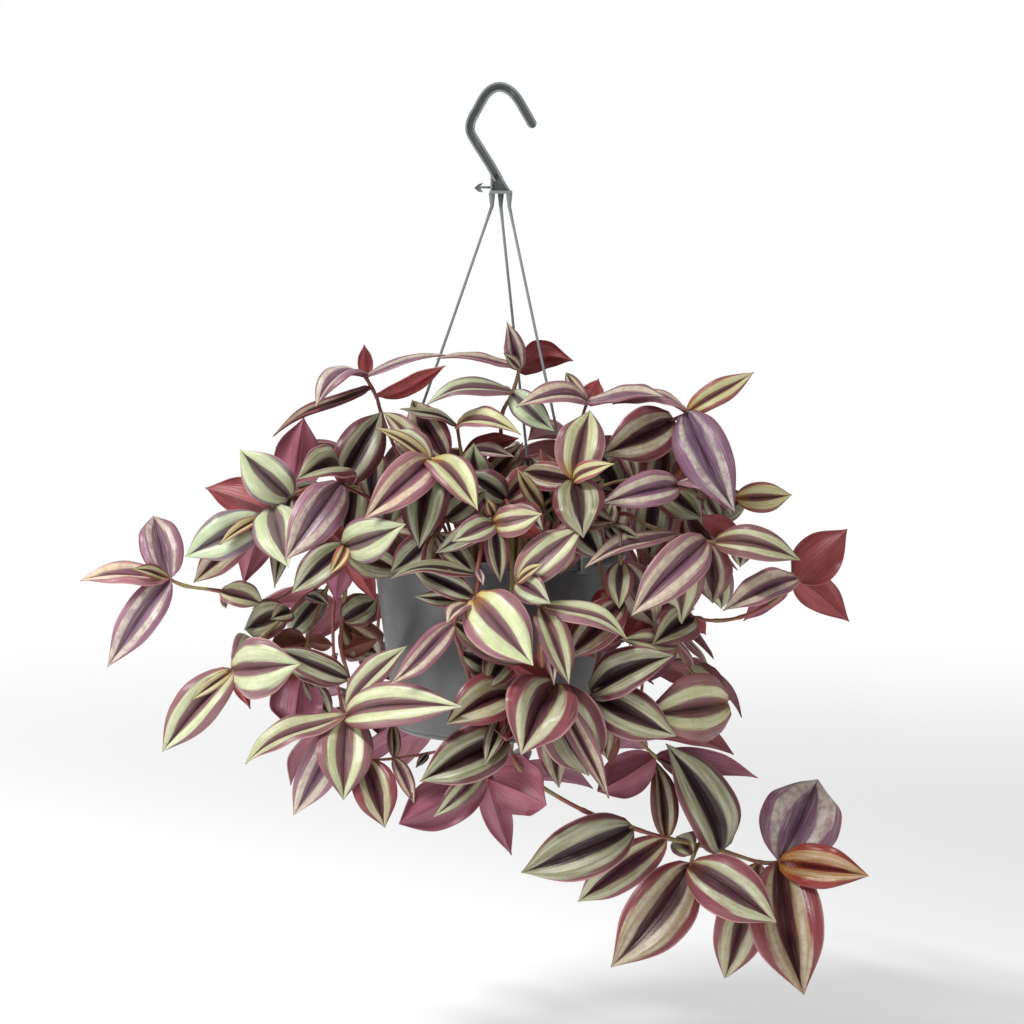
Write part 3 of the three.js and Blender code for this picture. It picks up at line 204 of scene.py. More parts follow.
# Leafy stems: name, root in the pot as [bearing, radius] (none where it branches off), radius, route as
# [x, h, f], and its leaves as [place along the route, tip x, h, f, width, turn, arch, tone]. A turn of 0
# shows the upper face to the front, 90 shows the edge and 180 the underside.
STEMS = [
    ["long_left", [179, 59], 1.2, [[-84, 14, 4], [-110, -16, 22], [-133, -31, 28], [-160, -25, 30],
        [-180, -22, 32], [-190, -18, 34]], [
      [5, -199, 16, 2, 25, 5, 0.08, "lilac"], [5, -242, -27, 42, 22, 52, 0.04, "pink"],
      [5, -226, -69, 52, 23, 12, 0.08, "lilac"], [5, -212, -12, 52, 9, 20, 0.05, "young"],
      [3, -135, -33, 38, 18, 32, 0.05, "pale"], [3, -157, -35, 22, 6, 20, 0.04, "dark"]]],
    ["upper_left", [168, 40], 1.2, [[-84, 36, 28], [-102, 37, 38], [-120, 30, 44], [-137, 17, 50]], [
      [3, -181, -5, 64, 27, 12, 0.1, "mint"], [3, -161, 2, 74, 8, 30, 0.05, "young"],
      [3, -176, -20, 30, 20, 8, 0.05, "plum"], [2, -149, 57, 52, 27, -8, 0.08, "mint"],
      [2.5, -121, -11, 82, 30, -8, 0.1, "mint"], [2, -112, 76, 18, 29, 172, 0.08, "pink"],
      [2.6, -169, 35, 22, 25, 164, 0.06, "red"], [2.8, -147, -21, 24, 24, 176, 0.08, "pink"],
      [1, -134, 24, 30, 10, 25, 0.04, "dark"], [2, -129, -23, 58, 14, 0, 0.05, "olive"]]],
    ["shoulder_left", [150, 47], 1.2, [[-72, 28, 42], [-91, 37, 56]], [
      [1, -123, -7, 88, 28, -2, 0.12, "lilac"], [1, -67, 79, 38, 27, 0, 0.08, "dark"],
      [1, -116, 40, 98, 26, 55, 0.2, "dark"], [0, -70, 60, 20, 18, 8, 0.06, "dark"]]],
    ["rim_left", [139, 58], 1.15, [[-64, 12, 60], [-80, 8, 66], [-88, 1, 74]], [
      [2, -53, 14, 102, 26, 0, 0.1, "mint"], [2, -119, -26, 86, 21, 12, 0.1, "dark"],
      [2, -97, -15, 100, 9, 0, 0.05, "young"], [2, -55, -14, 62, 22, -18, 0.05, "olive"],
      [2, -105, 17, 76, 13, 178, 0.05, "red"], [2, -93, -31, 56, 19, 176, 0.05, "pink"],
      [2, -70, -31, 62, 14, 170, 0.04, "red"], [1, -104, -6, 50, 22, 0, 0.06, "dark"]]],
    ["drop_left", [155, 59], 1.15, [[-77, 9, 36], [-98, -16, 34], [-110, -28, 40], [-120, -37, 44],
        [-135, -50, 50], [-150, -65, 54], [-153, -71, 56]], [
      [6, -194, -118, 68, 26, 16, 0.08, "pale"], [6, -114, -67, 84, 35, 5, 0.08, "pale"],
      [6, -135, -45, 26, 22, -10, 0.12, "pale"], [6, -177, -88, 70, 8, 10, 0.04, "young"],
      [6, -143, -93, 48, 9, 176, 0.03, "red"], [3, -146, -50, 30, 24, 20, 0.05, "olive"],
      [3, -131, -41, 66, 13, 20, 0.05, "dark"], [2, -97, -33, 62, 8, 30, 0.05, "dark"]]],
    ["tuft_left", [162, 54], 1.1, [[-81, 10, 26], [-99, -24, 24], [-110, -54, 26], [-113, -74, 32]], [
      [3, -117, -106, 52, 31, 178, 0.06, "pink"], [3, -134, -82, 44, 13, 150, 0.05, "bronze"],
      [3, -96, -98, 20, 15, 0, 0.05, "olive"], [2, -95, -56, 36, 10, 160, 0.05, "bronze"],
      [2, -132, -58, 50, 20, 172, 0.06, "bronze"], [1, -121, -50, 4, 18, 0, 0.06, "olive"]]],
    ["upright_left", [147, 59], 1.2, [[-74, 10, 50], [-86, -6, 46], [-88, -25, 50], [-90, -42, 54],
        [-90, -60, 58], [-86, -76, 66], [-87, -98, 76]], [
      [6, -146, -125, 88, 22, 52, 0.08, "pale"], [6, -89, -146, 98, 32, 0, 0.06, "pale"],
      [5.7, -56, -56, 92, 19, 38, 0.08, "pale"], [6, -20, -92, 120, 26, 12, 0.12, "pale"],
      [6, -78, -90, 84, 6, 0, 0.02, "young"], [6, -118, -155, 62, 24, -8, 0.06, "pink"],
      [5, -128, -58, 70, 17, 10, 0.06, "olive"], [5, -121, -70, 54, 16, 24, 0.05, "olive"],
      [3, -69, -29, 44, 20, 10, 0.05, "olive"], [3, -67, -64, 30, 26, -8, 0.05, "bronze"],
      [4, -68, -52, 46, 16, 165, 0.05, "bronze"]]],
    ["front_left", [104, 59], 1.4, [[-8, 10, 84], [-11, -12, 92], [-13, -29, 98], [-25, -43, 100],
        [-21, -60, 97], [-15, -78, 95], [-10, -96, 92], [-7, -118, 88], [-6, -133, 86]], [
      [2, 21, -68, 126, 35, 4, 0.14, "bright"], [2.2, -30, -46, 118, 13, 20, 0.08, "pink"],
      [3, -62, -79, 116, 17, -20, 0.08, "pink"], [1.2, -62, -18, 106, 15, 55, 0.1, "olive"],
      [2, -50, -11, 92, 15, 8, 0.05, "dark"], [3, 19, -67, 92, 18, 0, 0.05, "olive"],
      [4, 8, -70, 86, 19, 0, 0.05, "dark"], [2, -48, -28, 88, 10, 0, 0.03, "olive"],
      [1, -8, -21, 106, 5, 20, 0.01, "pink"], [8, -57, -160, 108, 30, 178, 0.08, "pink"],
      [8, 29, -149, 104, 36, 176, 0.06, "pink"], [8, 9, -182, 92, 17, 178, 0.05, "pink"],
      [7.4, -37, -156, 100, 15, 0, 0.05, "pale"]]],
    ["front_left", [], 0.9, [[-9, -104, 91], [-24, -114, 84], [-40, -119, 82], [-60, -122, 82],
        [-76, -123, 82]], [
      [4, -65, -162, 96, 25, 0, 0.06, "wine"], [3, -48, -148, 92, 10, 12, 0.05, "pink"],
      [3, -60, -100, 74, 9, 30, 0.05, "bronze"], [2, -47, -127, 90, 5, 10, 0.02, "dark"]]],
    ["long_right", [84, 59], 1.4, [[8, 10, 84], [9, -24, 88], [8, -60, 84], [7, -84, 86], [5, -106, 88],
        [10, -123, 88], [21, -135, 86], [50, -152, 78], [78, -162, 70], [98, -168, 64], [129, -175, 52],
        [152, -182, 44], [164, -182, 40]], [
      [3, -35, -107, 104, 29, 6, 0.1, "wine"], [4.2, -46, -136, 106, 31, 0, 0.08, "olive"],
      [3.4, -7, -126, 114, 13, 20, 0.08, "olive"], [3, 5, -114, 110, 16, 176, 0.05, "red"],
      [5, 27, -140, 92, 12, 176, 0.05, "pink"], [2, -8, -84, 96, 20, 0, 0.05, "dark"],
      [8, 14, -188, 88, 34, 4, 0.08, "dark"], [9, 47, -205, 50, 25, -10, 0.06, "wine"],
      [9, 91, -122, 58, 17, 18, 0.05, "bronze"], [10, 98, -113, 76, 34, 0, 0.06, "dark"],
      [11, 132, -250, 26, 31, 0, 0.06, "wine"], [12, 186, -134, 8, 47, 0, 0.06, "lilac"],
      [12, 216, -190, 64, 26, 10, 0.04, "flame"], [12, 178, -259, 66, 43, 0, 0.06, "plum"]]],
    ["long_right", [], 1.1, [[118, -170, 57], [114, -178, 62], [112, -184, 66]], [
      [2, 66, -243, 92, 38, -4, 0.08, "plum"], [2, 162, -217, 90, 34, 4, 0.1, "wine"],
      [2, 117, -206, 80, 8, 10, 0.04, "young"], [1, 104, -167, 44, 17, 0, 0.03, "pale"]]],
    ["drop_right", [57, 59], 1.15, [[54, 9, 66], [62, -28, 76], [60, -58, 80], [55, -84, 80],
        [67, -102, 76], [80, -110, 74], [92, -121, 72]], [
      [6, 58, -141, 88, 25, 178, 0.06, "pink"], [6, 151, -133, 56, 16, 160, 0.02, "pink"],
      [6, 147, -145, 40, 18, 20, 0.03, "pale"], [3, 103, -62, 98, 27, 0, 0.1, "dark"],
      [3, 104, -109, 100, 29, 4, 0.08, "dark"], [3.3, 64, -122, 84, 19, 10, 0.05, "plum"],
      [4, 66, -127, 76, 10, 176, 0.03, "bronze"]]],
    ["pale_right", [41, 59], 1.15, [[70, 8, 52], [84, -14, 60], [96, -38, 64], [104, -57, 66],
        [115, -74, 60], [133, -90, 58]], [
      [5, 84, -97, 90, 39, 0, 0.08, "pale"], [5, 112, -70, 26, 24, -15, 0.15, "bright"],
      [3, 69, -54, 84, 15, 20, 0.08, "pale"], [3, 88, -78, 70, 12, 150, 0.04, "pink"]]],
    ["far_right", [31, 59], 1.2, [[76, 9, 44], [88, -14, 54], [99, -33, 60], [113, -40, 60], [127, -42, 56],
        [141, -40, 52], [155, -34, 48], [168, -25, 44], [174, -18, 42]], [
      [8, 203, 11, 28, 28, 174, 0.06, "red"], [8, 208, -46, 28, 21, 178, 0.08, "red"],
      [8, 131, -36, 68, 20, 28, 0.08, "pink"], [7, 143, -42, 26, 12, 160, 0.03, "pink"],
      [3, 90, -56, 82, 25, 10, 0.08, "dark"], [3, 121, -50, 54, 9, 170, 0.03, "red"],
      [2, 84, -52, 46, 24, 175, 0.05, "bronze"]]],
    ["shoulder_right", [34, 52], 1.15, [[72, 20, 44], [88, 13, 52], [104, 8, 58], [121, 4, 62],
        [134, 3, 60], [142, 2, 58]], [
      [3, 78, -39, 98, 27, -5, 0.1, "pink"], [2, 50, -17, 94, 15, 42, 0.08, "pink"],
      [3, 125, -32, 48, 24, 8, 0.05, "plum"], [5, 141, -11, 66, 12, 0, 0.04, "pale"],
      [3, 131, -39, 34, 18, 0, 0.06, "pale"], [2, 107, -44, 72, 29, 0, 0.06, "pale"],
      [3.4, 176, -7, 72, 20, 14, 0.25, "pale"], [5, 122, 14, 76, 14, 170, 0.1, "red"]]],
    ["high_right", [22, 30], 1.15, [[48, 36, 18], [72, 54, 24], [94, 70, 30], [110, 78, 32]], [
      [3, 149, 102, 30, 15, 15, 0.05, "young"], [3, 67, 87, 34, 20, 50, 0.12, "pink"],
      [3, 138, 21, 66, 31, 0, 0.12, "lilac"], [2.4, 60, 54, 56, 31, 0, 0.05, "plum"]]],
    ["mid_right", [32, 40], 1.1, [[58, 34, 34], [80, 40, 42], [104, 36, 48], [122, 29, 46], [138, 29, 42]], [
      [2, 60, 26, 80, 21, 8, 0.1, "pink"], [2, 137, 21, 62, 15, 55, 0.22, "pink"],
      [4, 171, 31, 36, 18, 8, 0.05, "young"], [3, 113, 37, 28, 9, 0, 0.02, "pale"],
      [3, 131, 15, 56, 13, 0, 0.05, "pale"], [1.4, 119, 17, 32, 23, 0, 0.05, "olive"],
      [2, 112, 53, 24, 13, 178, 0.05, "bronze"], [1, 72, 62, 40, 10, 20, 0.05, "pale"]]],
    ["front_top", [72, 32], 1.2, [[26, 24, 54], [38, 34, 66], [45, 39, 74]], [
      [2, 54, 80, 60, 28, 4, 0.05, "bright"], [2, 68, 49, 96, 11, 20, 0.15, "young"],
      [2, 50, 6, 100, 29, 0, 0.08, "olive"], [2, 30, 69, 46, 19, 178, 0.05, "red"],
      [2, 59, 64, 48, 15, 176, 0.05, "red"], [1, 18, 61, 40, 17, 178, 0.05, "bronze"],
      [2, 13, 46, 54, 17, 8, 0.05, "plum"], [2, 62, 17, 64, 20, 0, 0.05, "plum"],
      [0, 12, 46, 78, 10, 8, 0.02, "young"]]],
    ["high_middle", [84, 14], 1.2, [[0, 40, 20], [2, 62, 26], [3, 78, 28], [9, 90, 28], [13, 104, 28]], [
      [4, -35, 110, 36, 10, 58, 0.03, "pink"], [4, 6, 131, 36, 13, 18, 0.03, "pink"],
      [4, 4, 113, 40, 7, 0, 0.02, "pale"], [4, 46, 104, 26, 21, 132, 0.34, "red"],
      [3, 33, 68, 46, 17, 0, 0.08, "mint"], [3, -41, 83, 46, 21, 58, 0.14, "pale"]]],
    ["high_mid_right", [48, 26], 1.1, [[30, 38, 20], [44, 62, 24], [52, 84, 26]], [
      [2, 11, 82, 48, 19, 44, 0.2, "pink"], [2, 59, 98, 2, 15, 174, 0.03, "red"],
      [2, 99, 79, 46, 20, 58, 0.01, "pink"], [2, 40, 102, 4, 9, 0, 0.02, "pale"]]],
    ["high_left", [150, 28], 1.1, [[-42, 32, 16], [-58, 56, 18], [-67, 78, 20], [-70, 88, 20],
        [-76, 99, 20]], [
      [4, -77, 118, 18, 9, 176, 0.03, "red"], [4, -105, 82, 40, 20, 64, 0.23, "pink"],
      [3.4, -130, 65, 42, 16, 62, 0.0, "plum"], [4, -28, 112, 20, 10, 60, 0.05, "pink"],
      [3, -30, 106, 30, 13, 142, -0.08, "red"]]],
    ["top_middle", [128, 20], 1.15, [[-14, 32, 26], [-20, 52, 30], [-23, 70, 32]], [
      [2, 14, 66, 58, 17, 42, 0.2, "bright"], [2, -56, 81, 36, 11, 58, 0.05, "dark"],
      [0.2, -13, 70, 48, 26, 0, 0.05, "pale"], [1, 12, 62, 44, 13, 155, 0.08, "red"],
      [1, 10, 53, 54, 11, 48, 0.1, "pink"], [0, 15, 61, 18, 18, 0, 0.05, "plum"]]],
    ["shoulder_middle", [124, 38], 1.2, [[-26, 32, 46], [-34, 44, 58], [-39, 50, 66]], [
      [2, -60, 69, 62, 18, 8, 0.05, "pale"], [2, -77, 17, 104, 25, 4, 0.12, "pink"],
      [2, -11, 22, 102, 22, 8, 0.1, "bright"], [2, -45, 0, 92, 29, -4, 0.06, "olive"],
      [2, -69, 71, 76, 9, 30, 0.05, "young"], [2, -66, 79, 40, 13, 18, 0.05, "pale"],
      [1, -62, 13, 62, 19, 0, 0.05, "olive"]]],
    ["front_middle", [93, 48], 1.15, [[0, 18, 70], [-2, 19, 82], [-2, 14, 90]], [
      [2, -26, 4, 108, 16, 22, 0.12, "pale"], [2, 26, 20, 104, 18, 8, 0.1, "bright"],
      [2, 29, 11, 88, 13, 150, 0.08, "flame"], [2, -35, -3, 84, 13, 8, 0.05, "olive"],
      [2, 10, -2, 96, 5, 18, 0.03, "pale"], [1, -6, 29, 96, 8, 20, 0.03, "young"],
      [2, 2, -20, 98, 14, 0, 0.06, "dark"]]],
    ["front_right", [74, 59], 1.3, [[14, 11, 82], [13, -4, 90], [12, -20, 96], [25, -34, 98], [30, -56, 98],
        [33, -79, 98]], [
      [2, 47, 13, 108, 24, 8, 0.08, "pale"], [2, 31, -32, 114, 17, 0, 0.06, "pale"],
      [2, 27, -9, 112, 8, 38, 0.05, "young"], [3, 74, -57, 100, 21, 52, 0.1, "pale"],
      [3, 60, -61, 84, 22, 168, 0.05, "red"], [3, 41, -80, 110, 19, 14, 0.12, "pale"],
      [3.6, 33, -79, 116, 9, 10, 0.04, "pink"], [3.6, 28, -78, 90, 11, 0, 0.02, "flame"],
      [5, 14, -120, 128, 41, 0, 0.08, "wine"], [5, 54, -134, 104, 37, 0, 0.08, "dark"],
      [5, 4, -61, 95, 20, 174, 0.05, "red"], [5, 4, -106, 88, 22, 172, 0.05, "red"],
      [5, 65, -145, 112, 14, 14, 0.05, "pink"], [5, 36, -139, 84, 21, 0, 0.03, "plum"]]],
    ["rim_right", [54, 50], 1.1, [[48, 18, 62], [64, 12, 74], [72, -8, 80], [73, -31, 82], [73, -53, 80]], [
      [2, 71, -35, 92, 17, 0, 0.05, "olive"], [1, 72, 1, 88, 9, 8, 0.03, "olive"],
      [1, 81, 2, 82, 9, 8, 0.03, "olive"], [1, 68, 27, 70, 8, 0, 0.02, "pale"],
      [4, 54, -58, 90, 9, 172, 0.02, "pink"], [3, 38, -66, 84, 24, 0, 0.05, "plum"],
      [4, 92, -26, 64, 20, 174, 0.05, "red"], [2, 90, -42, 62, 27, 0, 0.05, "plum"],
      [3, 54, -40, 76, 22, 172, 0.05, "red"]]],
    ["inner_left", [113, 46], 1.1, [[-22, 14, 60], [-29, 17, 72], [-35, 8, 80]], [
      [2, -62, -14, 82, 20, 0, 0.06, "dark"], [2, -34, -28, 86, 19, 6, 0.06, "bronze"],
      [2, -12, -16, 88, 16, 10, 0.06, "dark"], [1.6, -62, 14, 78, 20, 0, 0.05, "bronze"],
      [1, -6, 34, 76, 18, 10, 0.06, "olive"], [1, -54, 38, 60, 20, 10, 0.05, "plum"]]],
    ["inner_front", [88, 38], 1.1, [[2, 20, 50], [5, 28, 60], [8, 22, 70]], [
      [2, 20, -8, 79, 14, 6, 0.06, "bronze"], [2, 34, 6, 82, 18, 0, 0.05, "plum"],
      [1, -18, 44, 62, 20, 0, 0.05, "dark"], [1, 30, 48, 52, 20, 0, 0.05, "plum"]]],
    ["inner_right", [64, 48], 1.1, [[27, 18, 52], [35, 24, 60], [44, 16, 68]], [
      [2, 62, -8, 82, 22, 0, 0.06, "dark"], [2, 36, -14, 82, 19, 4, 0.06, "plum"],
      [2, 74, 14, 74, 18, 4, 0.06, "bronze"], [1, 62, 40, 48, 18, 0, 0.05, "plum"]]],
    # The deep stems fill the middle of the foliage with dark leaves; their dark and bronze tones are partly
    # painted shade
    ["deep_left", [176, 26], 1.1, [[-44, 24, -4], [-62, 38, -4], [-82, 38, 4], [-100, 26, 10]], [
      [3, -122, 2, 12, 26, 0, 0.06, "plum"], [3, -138, 36, 4, 22, 0, 0.06, "dark"],
      [2, -84, 72, 4, 24, 0, 0.06, "plum"], [2, -88, -4, 12, 25, 0, 0.06, "dark"],
      [1, -38, 68, 4, 25, 0, 0.06, "dark"], [1, -50, 2, 14, 22, 0, 0.06, "plum"]]],
    ["deep_right", [10, 40], 1.1, [[52, 24, 4], [70, 34, 8], [92, 32, 12], [110, 20, 14]], [
      [3, 132, -10, 10, 26, 0, 0.06, "plum"], [3, 148, 30, 6, 24, 0, 0.06, "dark"],
      [2, 98, 66, 8, 26, 0, 0.06, "plum"], [2, 88, -8, 18, 26, 0, 0.06, "dark"],
      [1, 54, 62, 6, 26, 0, 0.06, "dark"], [1, 64, -6, 18, 24, 0, 0.06, "bronze"]]],
    ["deep_middle", [100, 26], 1.1, [[4, 22, 32], [13, 38, 34], [18, 52, 36]], [
      [2, 34, 14, 40, 26, 0, 0.06, "dark"], [2, 8, 12, 44, 24, 0, 0.06, "bronze"],
      [1, -14, 10, 42, 20, 0, 0.06, "dark"], [1, 34, 52, 28, 18, 0, 0.06, "plum"]]],
    ["deep_mid_left", [140, 44], 1.1, [[-34, 22, 32], [-33, 38, 34], [-29, 52, 36]], [
      [2, -38, 8, 24, 22, 0, 0.06, "dark"], [2, -14, 22, 22, 20, 0, 0.06, "bronze"],
      [2, -46, 88, 18, 22, 0, 0.06, "plum"], [1, -52, 4, 40, 24, 0, 0.06, "plum"],
      [1, -62, 46, 28, 20, 0, 0.06, "dark"]]],
]


# ---- property groups: what a user would change ----
def length(name, description, millimetres):
    return bpy.props.FloatProperty(
        name=name, description=description, default=millimetres * MM, unit="LENGTH", precision=5)


def factor(name, description, default):
    return bpy.props.FloatProperty(
        name=name, description=description, default=default, min=0, max=1, subtype="FACTOR")


def linear(code):
    """The linear colour of an sRGB hex code."""
    parts = [int(code[i:i + 2], 16) / 255 for i in (1, 3, 5)]
    return tuple(p / 12.92 if p <= 0.04045 else ((p + 0.055) / 1.055) ** 2.4 for p in parts)


def colour(name, description, code):
    return bpy.props.FloatVectorProperty(
        name=name, description=description, default=linear(code), subtype="COLOR", min=0, max=1)


def number(name, description, default, least):
    return bpy.props.IntProperty(name=name, description=description, default=default, min=least)


def power(name, description, watts):
    return bpy.props.FloatProperty(name=name, description=description, default=watts, unit="POWER")


class PotSettings(bpy.types.PropertyGroup):
    rim_radius: length("Rim radius", "Outside radius of the lip", RIM_RADIUS)
    height: length("Height", "From the foot to the rim", POT_HEIGHT)
    wall: length("Wall", "Thickness of the moulded wall", WALL)
    recess: length("Recess", "Depth of the recess under the foot", 1.0)
    plastic: colour("Plastic", "Grey polypropylene", "#606263")
    rub: colour("Rub", "Paler plastic where the wall is rubbed", "#8A8B8B")


class SoilSettings(bpy.types.PropertyGroup):
    crumbs: number("Crumbs", "Loose bits on the surface", 420, 0)
    lump: length("Lumps", "Height of the lumps in the surface", 3.2)
    peat: colour("Peat", "Moist peat", "#2E2119")
    bark: colour("Bark", "Composted bark", "#5A4230")


class HangerSettings(bpy.types.PropertyGroup):
    edge: length("Edge", "Rounding of the moulded edges", 0.35)
    strand: length("Strand", "Radius of a strand", 0.8)
    plastic: colour("Plastic", "Dark grey-green polypropylene", "#868D8B")
    thin: colour("Thin plastic", "Paler plastic at thin, scuffed places", "#A3AAA7")


class LeafSettings(bpy.types.PropertyGroup):
    thickness: length("Thickness", "Thickness of a blade", 0.55)
    columns: number("Columns", "Faces across a blade", 12, 4)
    rows: number("Rows", "Faces along a blade", 22, 6)
    fold: factor("Fold", "How far the margins rise, against the half width", 0.38)
    puff: factor("Puff", "How far each half of the blade bulges", 0.19)
    wave: factor("Wave", "Waviness of the margins, against the half width", 0.07)
    curl: factor("Curl", "How far a blade may curl like an S, against its length", 0.03)
    twirl: factor("Twirl", "How far a blade may twist along its length, in radians", 0.45)
    variation: factor("Variation", "Spread of lightness from leaf to leaf", 0.16)


class StalkSettings(bpy.types.PropertyGroup):
    step: length("Step", "Distance between rings along a stalk", 2.4)
    node_swell: factor("Node swell", "How much thicker a stalk is at a node", 0.32)
    sheath: length("Sheath", "Length of the sheath over a node", 7)
    red: colour("Red", "Sunlit stalk", "#8A4A44")
    green: colour("Green", "Young stalk", "#8E8152")


class StageSettings(bpy.types.PropertyGroup):
    drop: length("Drop", "Floor below the lowest leaf", 70)
    floor: colour("Floor", "Pale floor", "#F4F4F4")
    glow: factor("Glow", "Light that the floor gives back from the studio round it", 0.26)
    key_power: power("Key", "Power of the key light", 192)
    edge_power: power("Edge", "Power of the edge light", 55)
    fill_power: power("Fill", "Power of the fill light", 24)
    sky: factor("Sky", "Strength of the even light", 0.47)


# ---- objects and modifiers ----
def clear_selection():
    """Nothing selected, and object mode."""
    if bpy.context.object and bpy.context.object.mode != "OBJECT":
        bpy.ops.object.mode_set(mode="OBJECT")
    bpy.ops.object.select_all(action="DESELECT")


def activate(piece):
    clear_selection()
    piece.select_set(True)
    bpy.context.view_layer.objects.active = piece


def apply_modifier(piece, kind, **settings):
    """Adds a modifier with its settings and applies it."""
    activate(piece)
    modifier = piece.modifiers.new(kind.lower(), kind)
    for key, value in settings.items():
        setattr(modifier, key, value)
    bpy.ops.object.modifier_apply(modifier=modifier.name)


def join_pieces(pieces, name):
    """One object of several, named, at the origin."""
    clear_selection()
    for piece in pieces:
        piece.select_set(True)
    bpy.context.view_layer.objects.active = pieces[0]
    if len(pieces) > 1:
        bpy.ops.object.join()
    whole = bpy.context.view_layer.objects.active
    bpy.ops.object.transform_apply(location=True, rotation=True, scale=True)
    whole.name = name
    whole.data.name = name
    return whole


def hand_over(piece, node, slot, *materials):
    """Gives a piece its materials, parents it to the root body and hides the solid that it stands for."""
    if materials:
        piece.data.materials.clear()
        for material in materials:
            piece.data.materials.append(material)
    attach(piece, "root")
    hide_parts(node)


def turn_up(profile, segments):
    """A round shell drawn up from a disc at the first (radius, height), ring by ring, closed at the last."""
    clear_selection()
    (radius, height), *rest = profile
    bpy.ops.mesh.primitive_circle_add(
        vertices=segments, radius=radius, fill_type="NGON", location=(0, 0, height))
    bpy.ops.object.mode_set(mode="EDIT")
    bpy.ops.mesh.select_all(action="SELECT")
    for next_radius, next_height in rest:
        bpy.ops.mesh.extrude_region_move(TRANSFORM_OT_translate={"value": (0, 0, next_height - height)})
        scale = next_radius / radius
        bpy.ops.transform.resize(value=(scale, scale, 1), center_override=(0, 0, next_height))
        radius, height = next_radius, next_height
    bpy.ops.mesh.select_all(action="SELECT")
    bpy.ops.mesh.normals_make_consistent(inside=False)
    bpy.ops.object.mode_set(mode="OBJECT")
    shell = bpy.context.object
    bpy.ops.object.transform_apply(location=True, rotation=False, scale=False)
    return shell


def draw_tube(name, points, radii, roundness):
    """A tube with closed ends through points in metres, with a radius in mm at each."""
    curve = bpy.data.curves.new(name, "CURVE")
    curve.dimensions = "3D"
    curve.bevel_depth = 1
    curve.bevel_resolution = roundness
    curve.use_fill_caps = True
    spline = curve.splines.new("POLY")
    spline.points.add(len(points) - 1)
    for spot, point, radius in zip(spline.points, points, radii):
        spot.co = (*point, 1)
        spot.radius = radius * MM
    return to_mesh(link_object(name, curve))


def link_object(name, data):
    drawn = bpy.data.objects.new(name, data)
    bpy.context.collection.objects.link(drawn)
    return drawn


def to_mesh(drawn):
    activate(drawn)
    bpy.ops.object.convert(target="MESH")
    return bpy.context.object


# ---- materials ----
STEP = {"interpolation_type": "SMOOTHSTEP"}
BLEND = {"data_type": "RGBA"}
PLUS = {"operation": "ADD"}
MINUS = {"operation": "SUBTRACT"}
TIMES = {"operation": "MULTIPLY"}
TIMES_PLUS = {"operation": "MULTIPLY_ADD"}
TO_POWER = {"operation": "POWER"}
POLYPROPYLENE_IOR = 1.49
LEAF_IOR = 1.45
LEAF_SHIFT = 60  # sets the streaks of one leaf apart from those of the next
VEIN_WAVES = 50  # radians of relief from the midrib to the margin: eight veins
VEIN_SHARE = 0.3  # of the veins in the relief


def feed(node, inputs):
    """Gives a node its inputs, by name or in the order that it shows them. Each is a value, or a socket to
    link."""
    shown = [socket for socket in node.inputs if socket.enabled]
    if isinstance(inputs, dict):
        shown = [node.inputs[name] for name in inputs]
        inputs = inputs.values()
    for socket, value in zip(shown, inputs):
        if isinstance(value, bpy.types.NodeSocket):
            node.id_data.links.new(value, socket)
        else:
            socket.default_value = value


def add(tree, kind, inputs=(), **settings):
    """Adds a shader node with its settings and inputs, and gives the first output that it shows."""
    node = tree.nodes.new("ShaderNode" + kind)
    for key, value in settings.items():
        setattr(node, key, value)
    feed(node, inputs)
    return next(socket for socket in node.outputs if socket.enabled)


def new_material(name, inputs):
    """A material whose shader has these inputs; returns it, its node tree and the shader."""
    material = bpy.data.materials.new(name)
    material.use_nodes = True
    shader = material.node_tree.nodes["Principled BSDF"]
    feed(shader, inputs)
    return material, material.node_tree, shader


def rgba(value, share=1):
    """A colour with its alpha, darkened to a share of its light."""
    return (*(share * part for part in value), 1)


def paint(code):
    return rgba(linear(code))


def lay_over(tree, under, over, value, *reach):
    """One colour over another, more of it as value goes from the first number of reach to the second. The
    amount then goes from the third to the fourth, or from 0 to 1."""
    amount = add(tree, "MapRange", (value, *reach), **STEP)
    return add(tree, "Mix", (amount, under, over), **BLEND)


def object_spots(tree, size, stretch=(1, 1, 1), detail=3, roughness=0.5):
    """Noise in the object's own space, its spots about size mm across and longer where stretch is below 1."""
    place_in_object = add(tree, "TexCoord").node.outputs["Object"]
    mapped = add(tree, "Mapping", {"Vector": place_in_object, "Scale": stretch})
    return add(tree, "TexNoise", (mapped, 1 / (size * MM), detail, roughness))


def pot_plastic():
    # Injection-moulded polypropylene, fine satin: an even grey with faint flow marks 12 mm apart down the
    # wall, an orange peel of 1.2 mm, drawn coarse enough to show, and a few paler rubs from stacking, 20 mm
    # across.
    look = bpy.context.scene.spiderwort_pot
    material, tree, shader = new_material("moulded_polypropylene_grey", {"IOR": POLYPROPYLENE_IOR})
    flow = object_spots(tree, 12, (1, 1, 0.12), 2)
    rubs = object_spots(tree, 20, (1, 1, 3), 6, 0.7)
    peel = object_spots(tree, 1.2, detail=2)
    base = lay_over(tree, rgba(look.plastic, 0.86), rgba(look.plastic), flow, 0.3, 0.75)
    worn = lay_over(tree, base, rgba(look.rub), rubs, 0.62, 0.78, 0, 0.5)
    satin = add(tree, "MapRange", (rubs, 0.4, 0.8, 0.30, 0.48), **STEP)
    relief = add(tree, "Bump", {"Height": peel, "Distance": 0.06 * MM, "Strength": 0.5})
    feed(shader, {"Base Color": worn, "Roughness": satin, "Normal": relief})
    return material


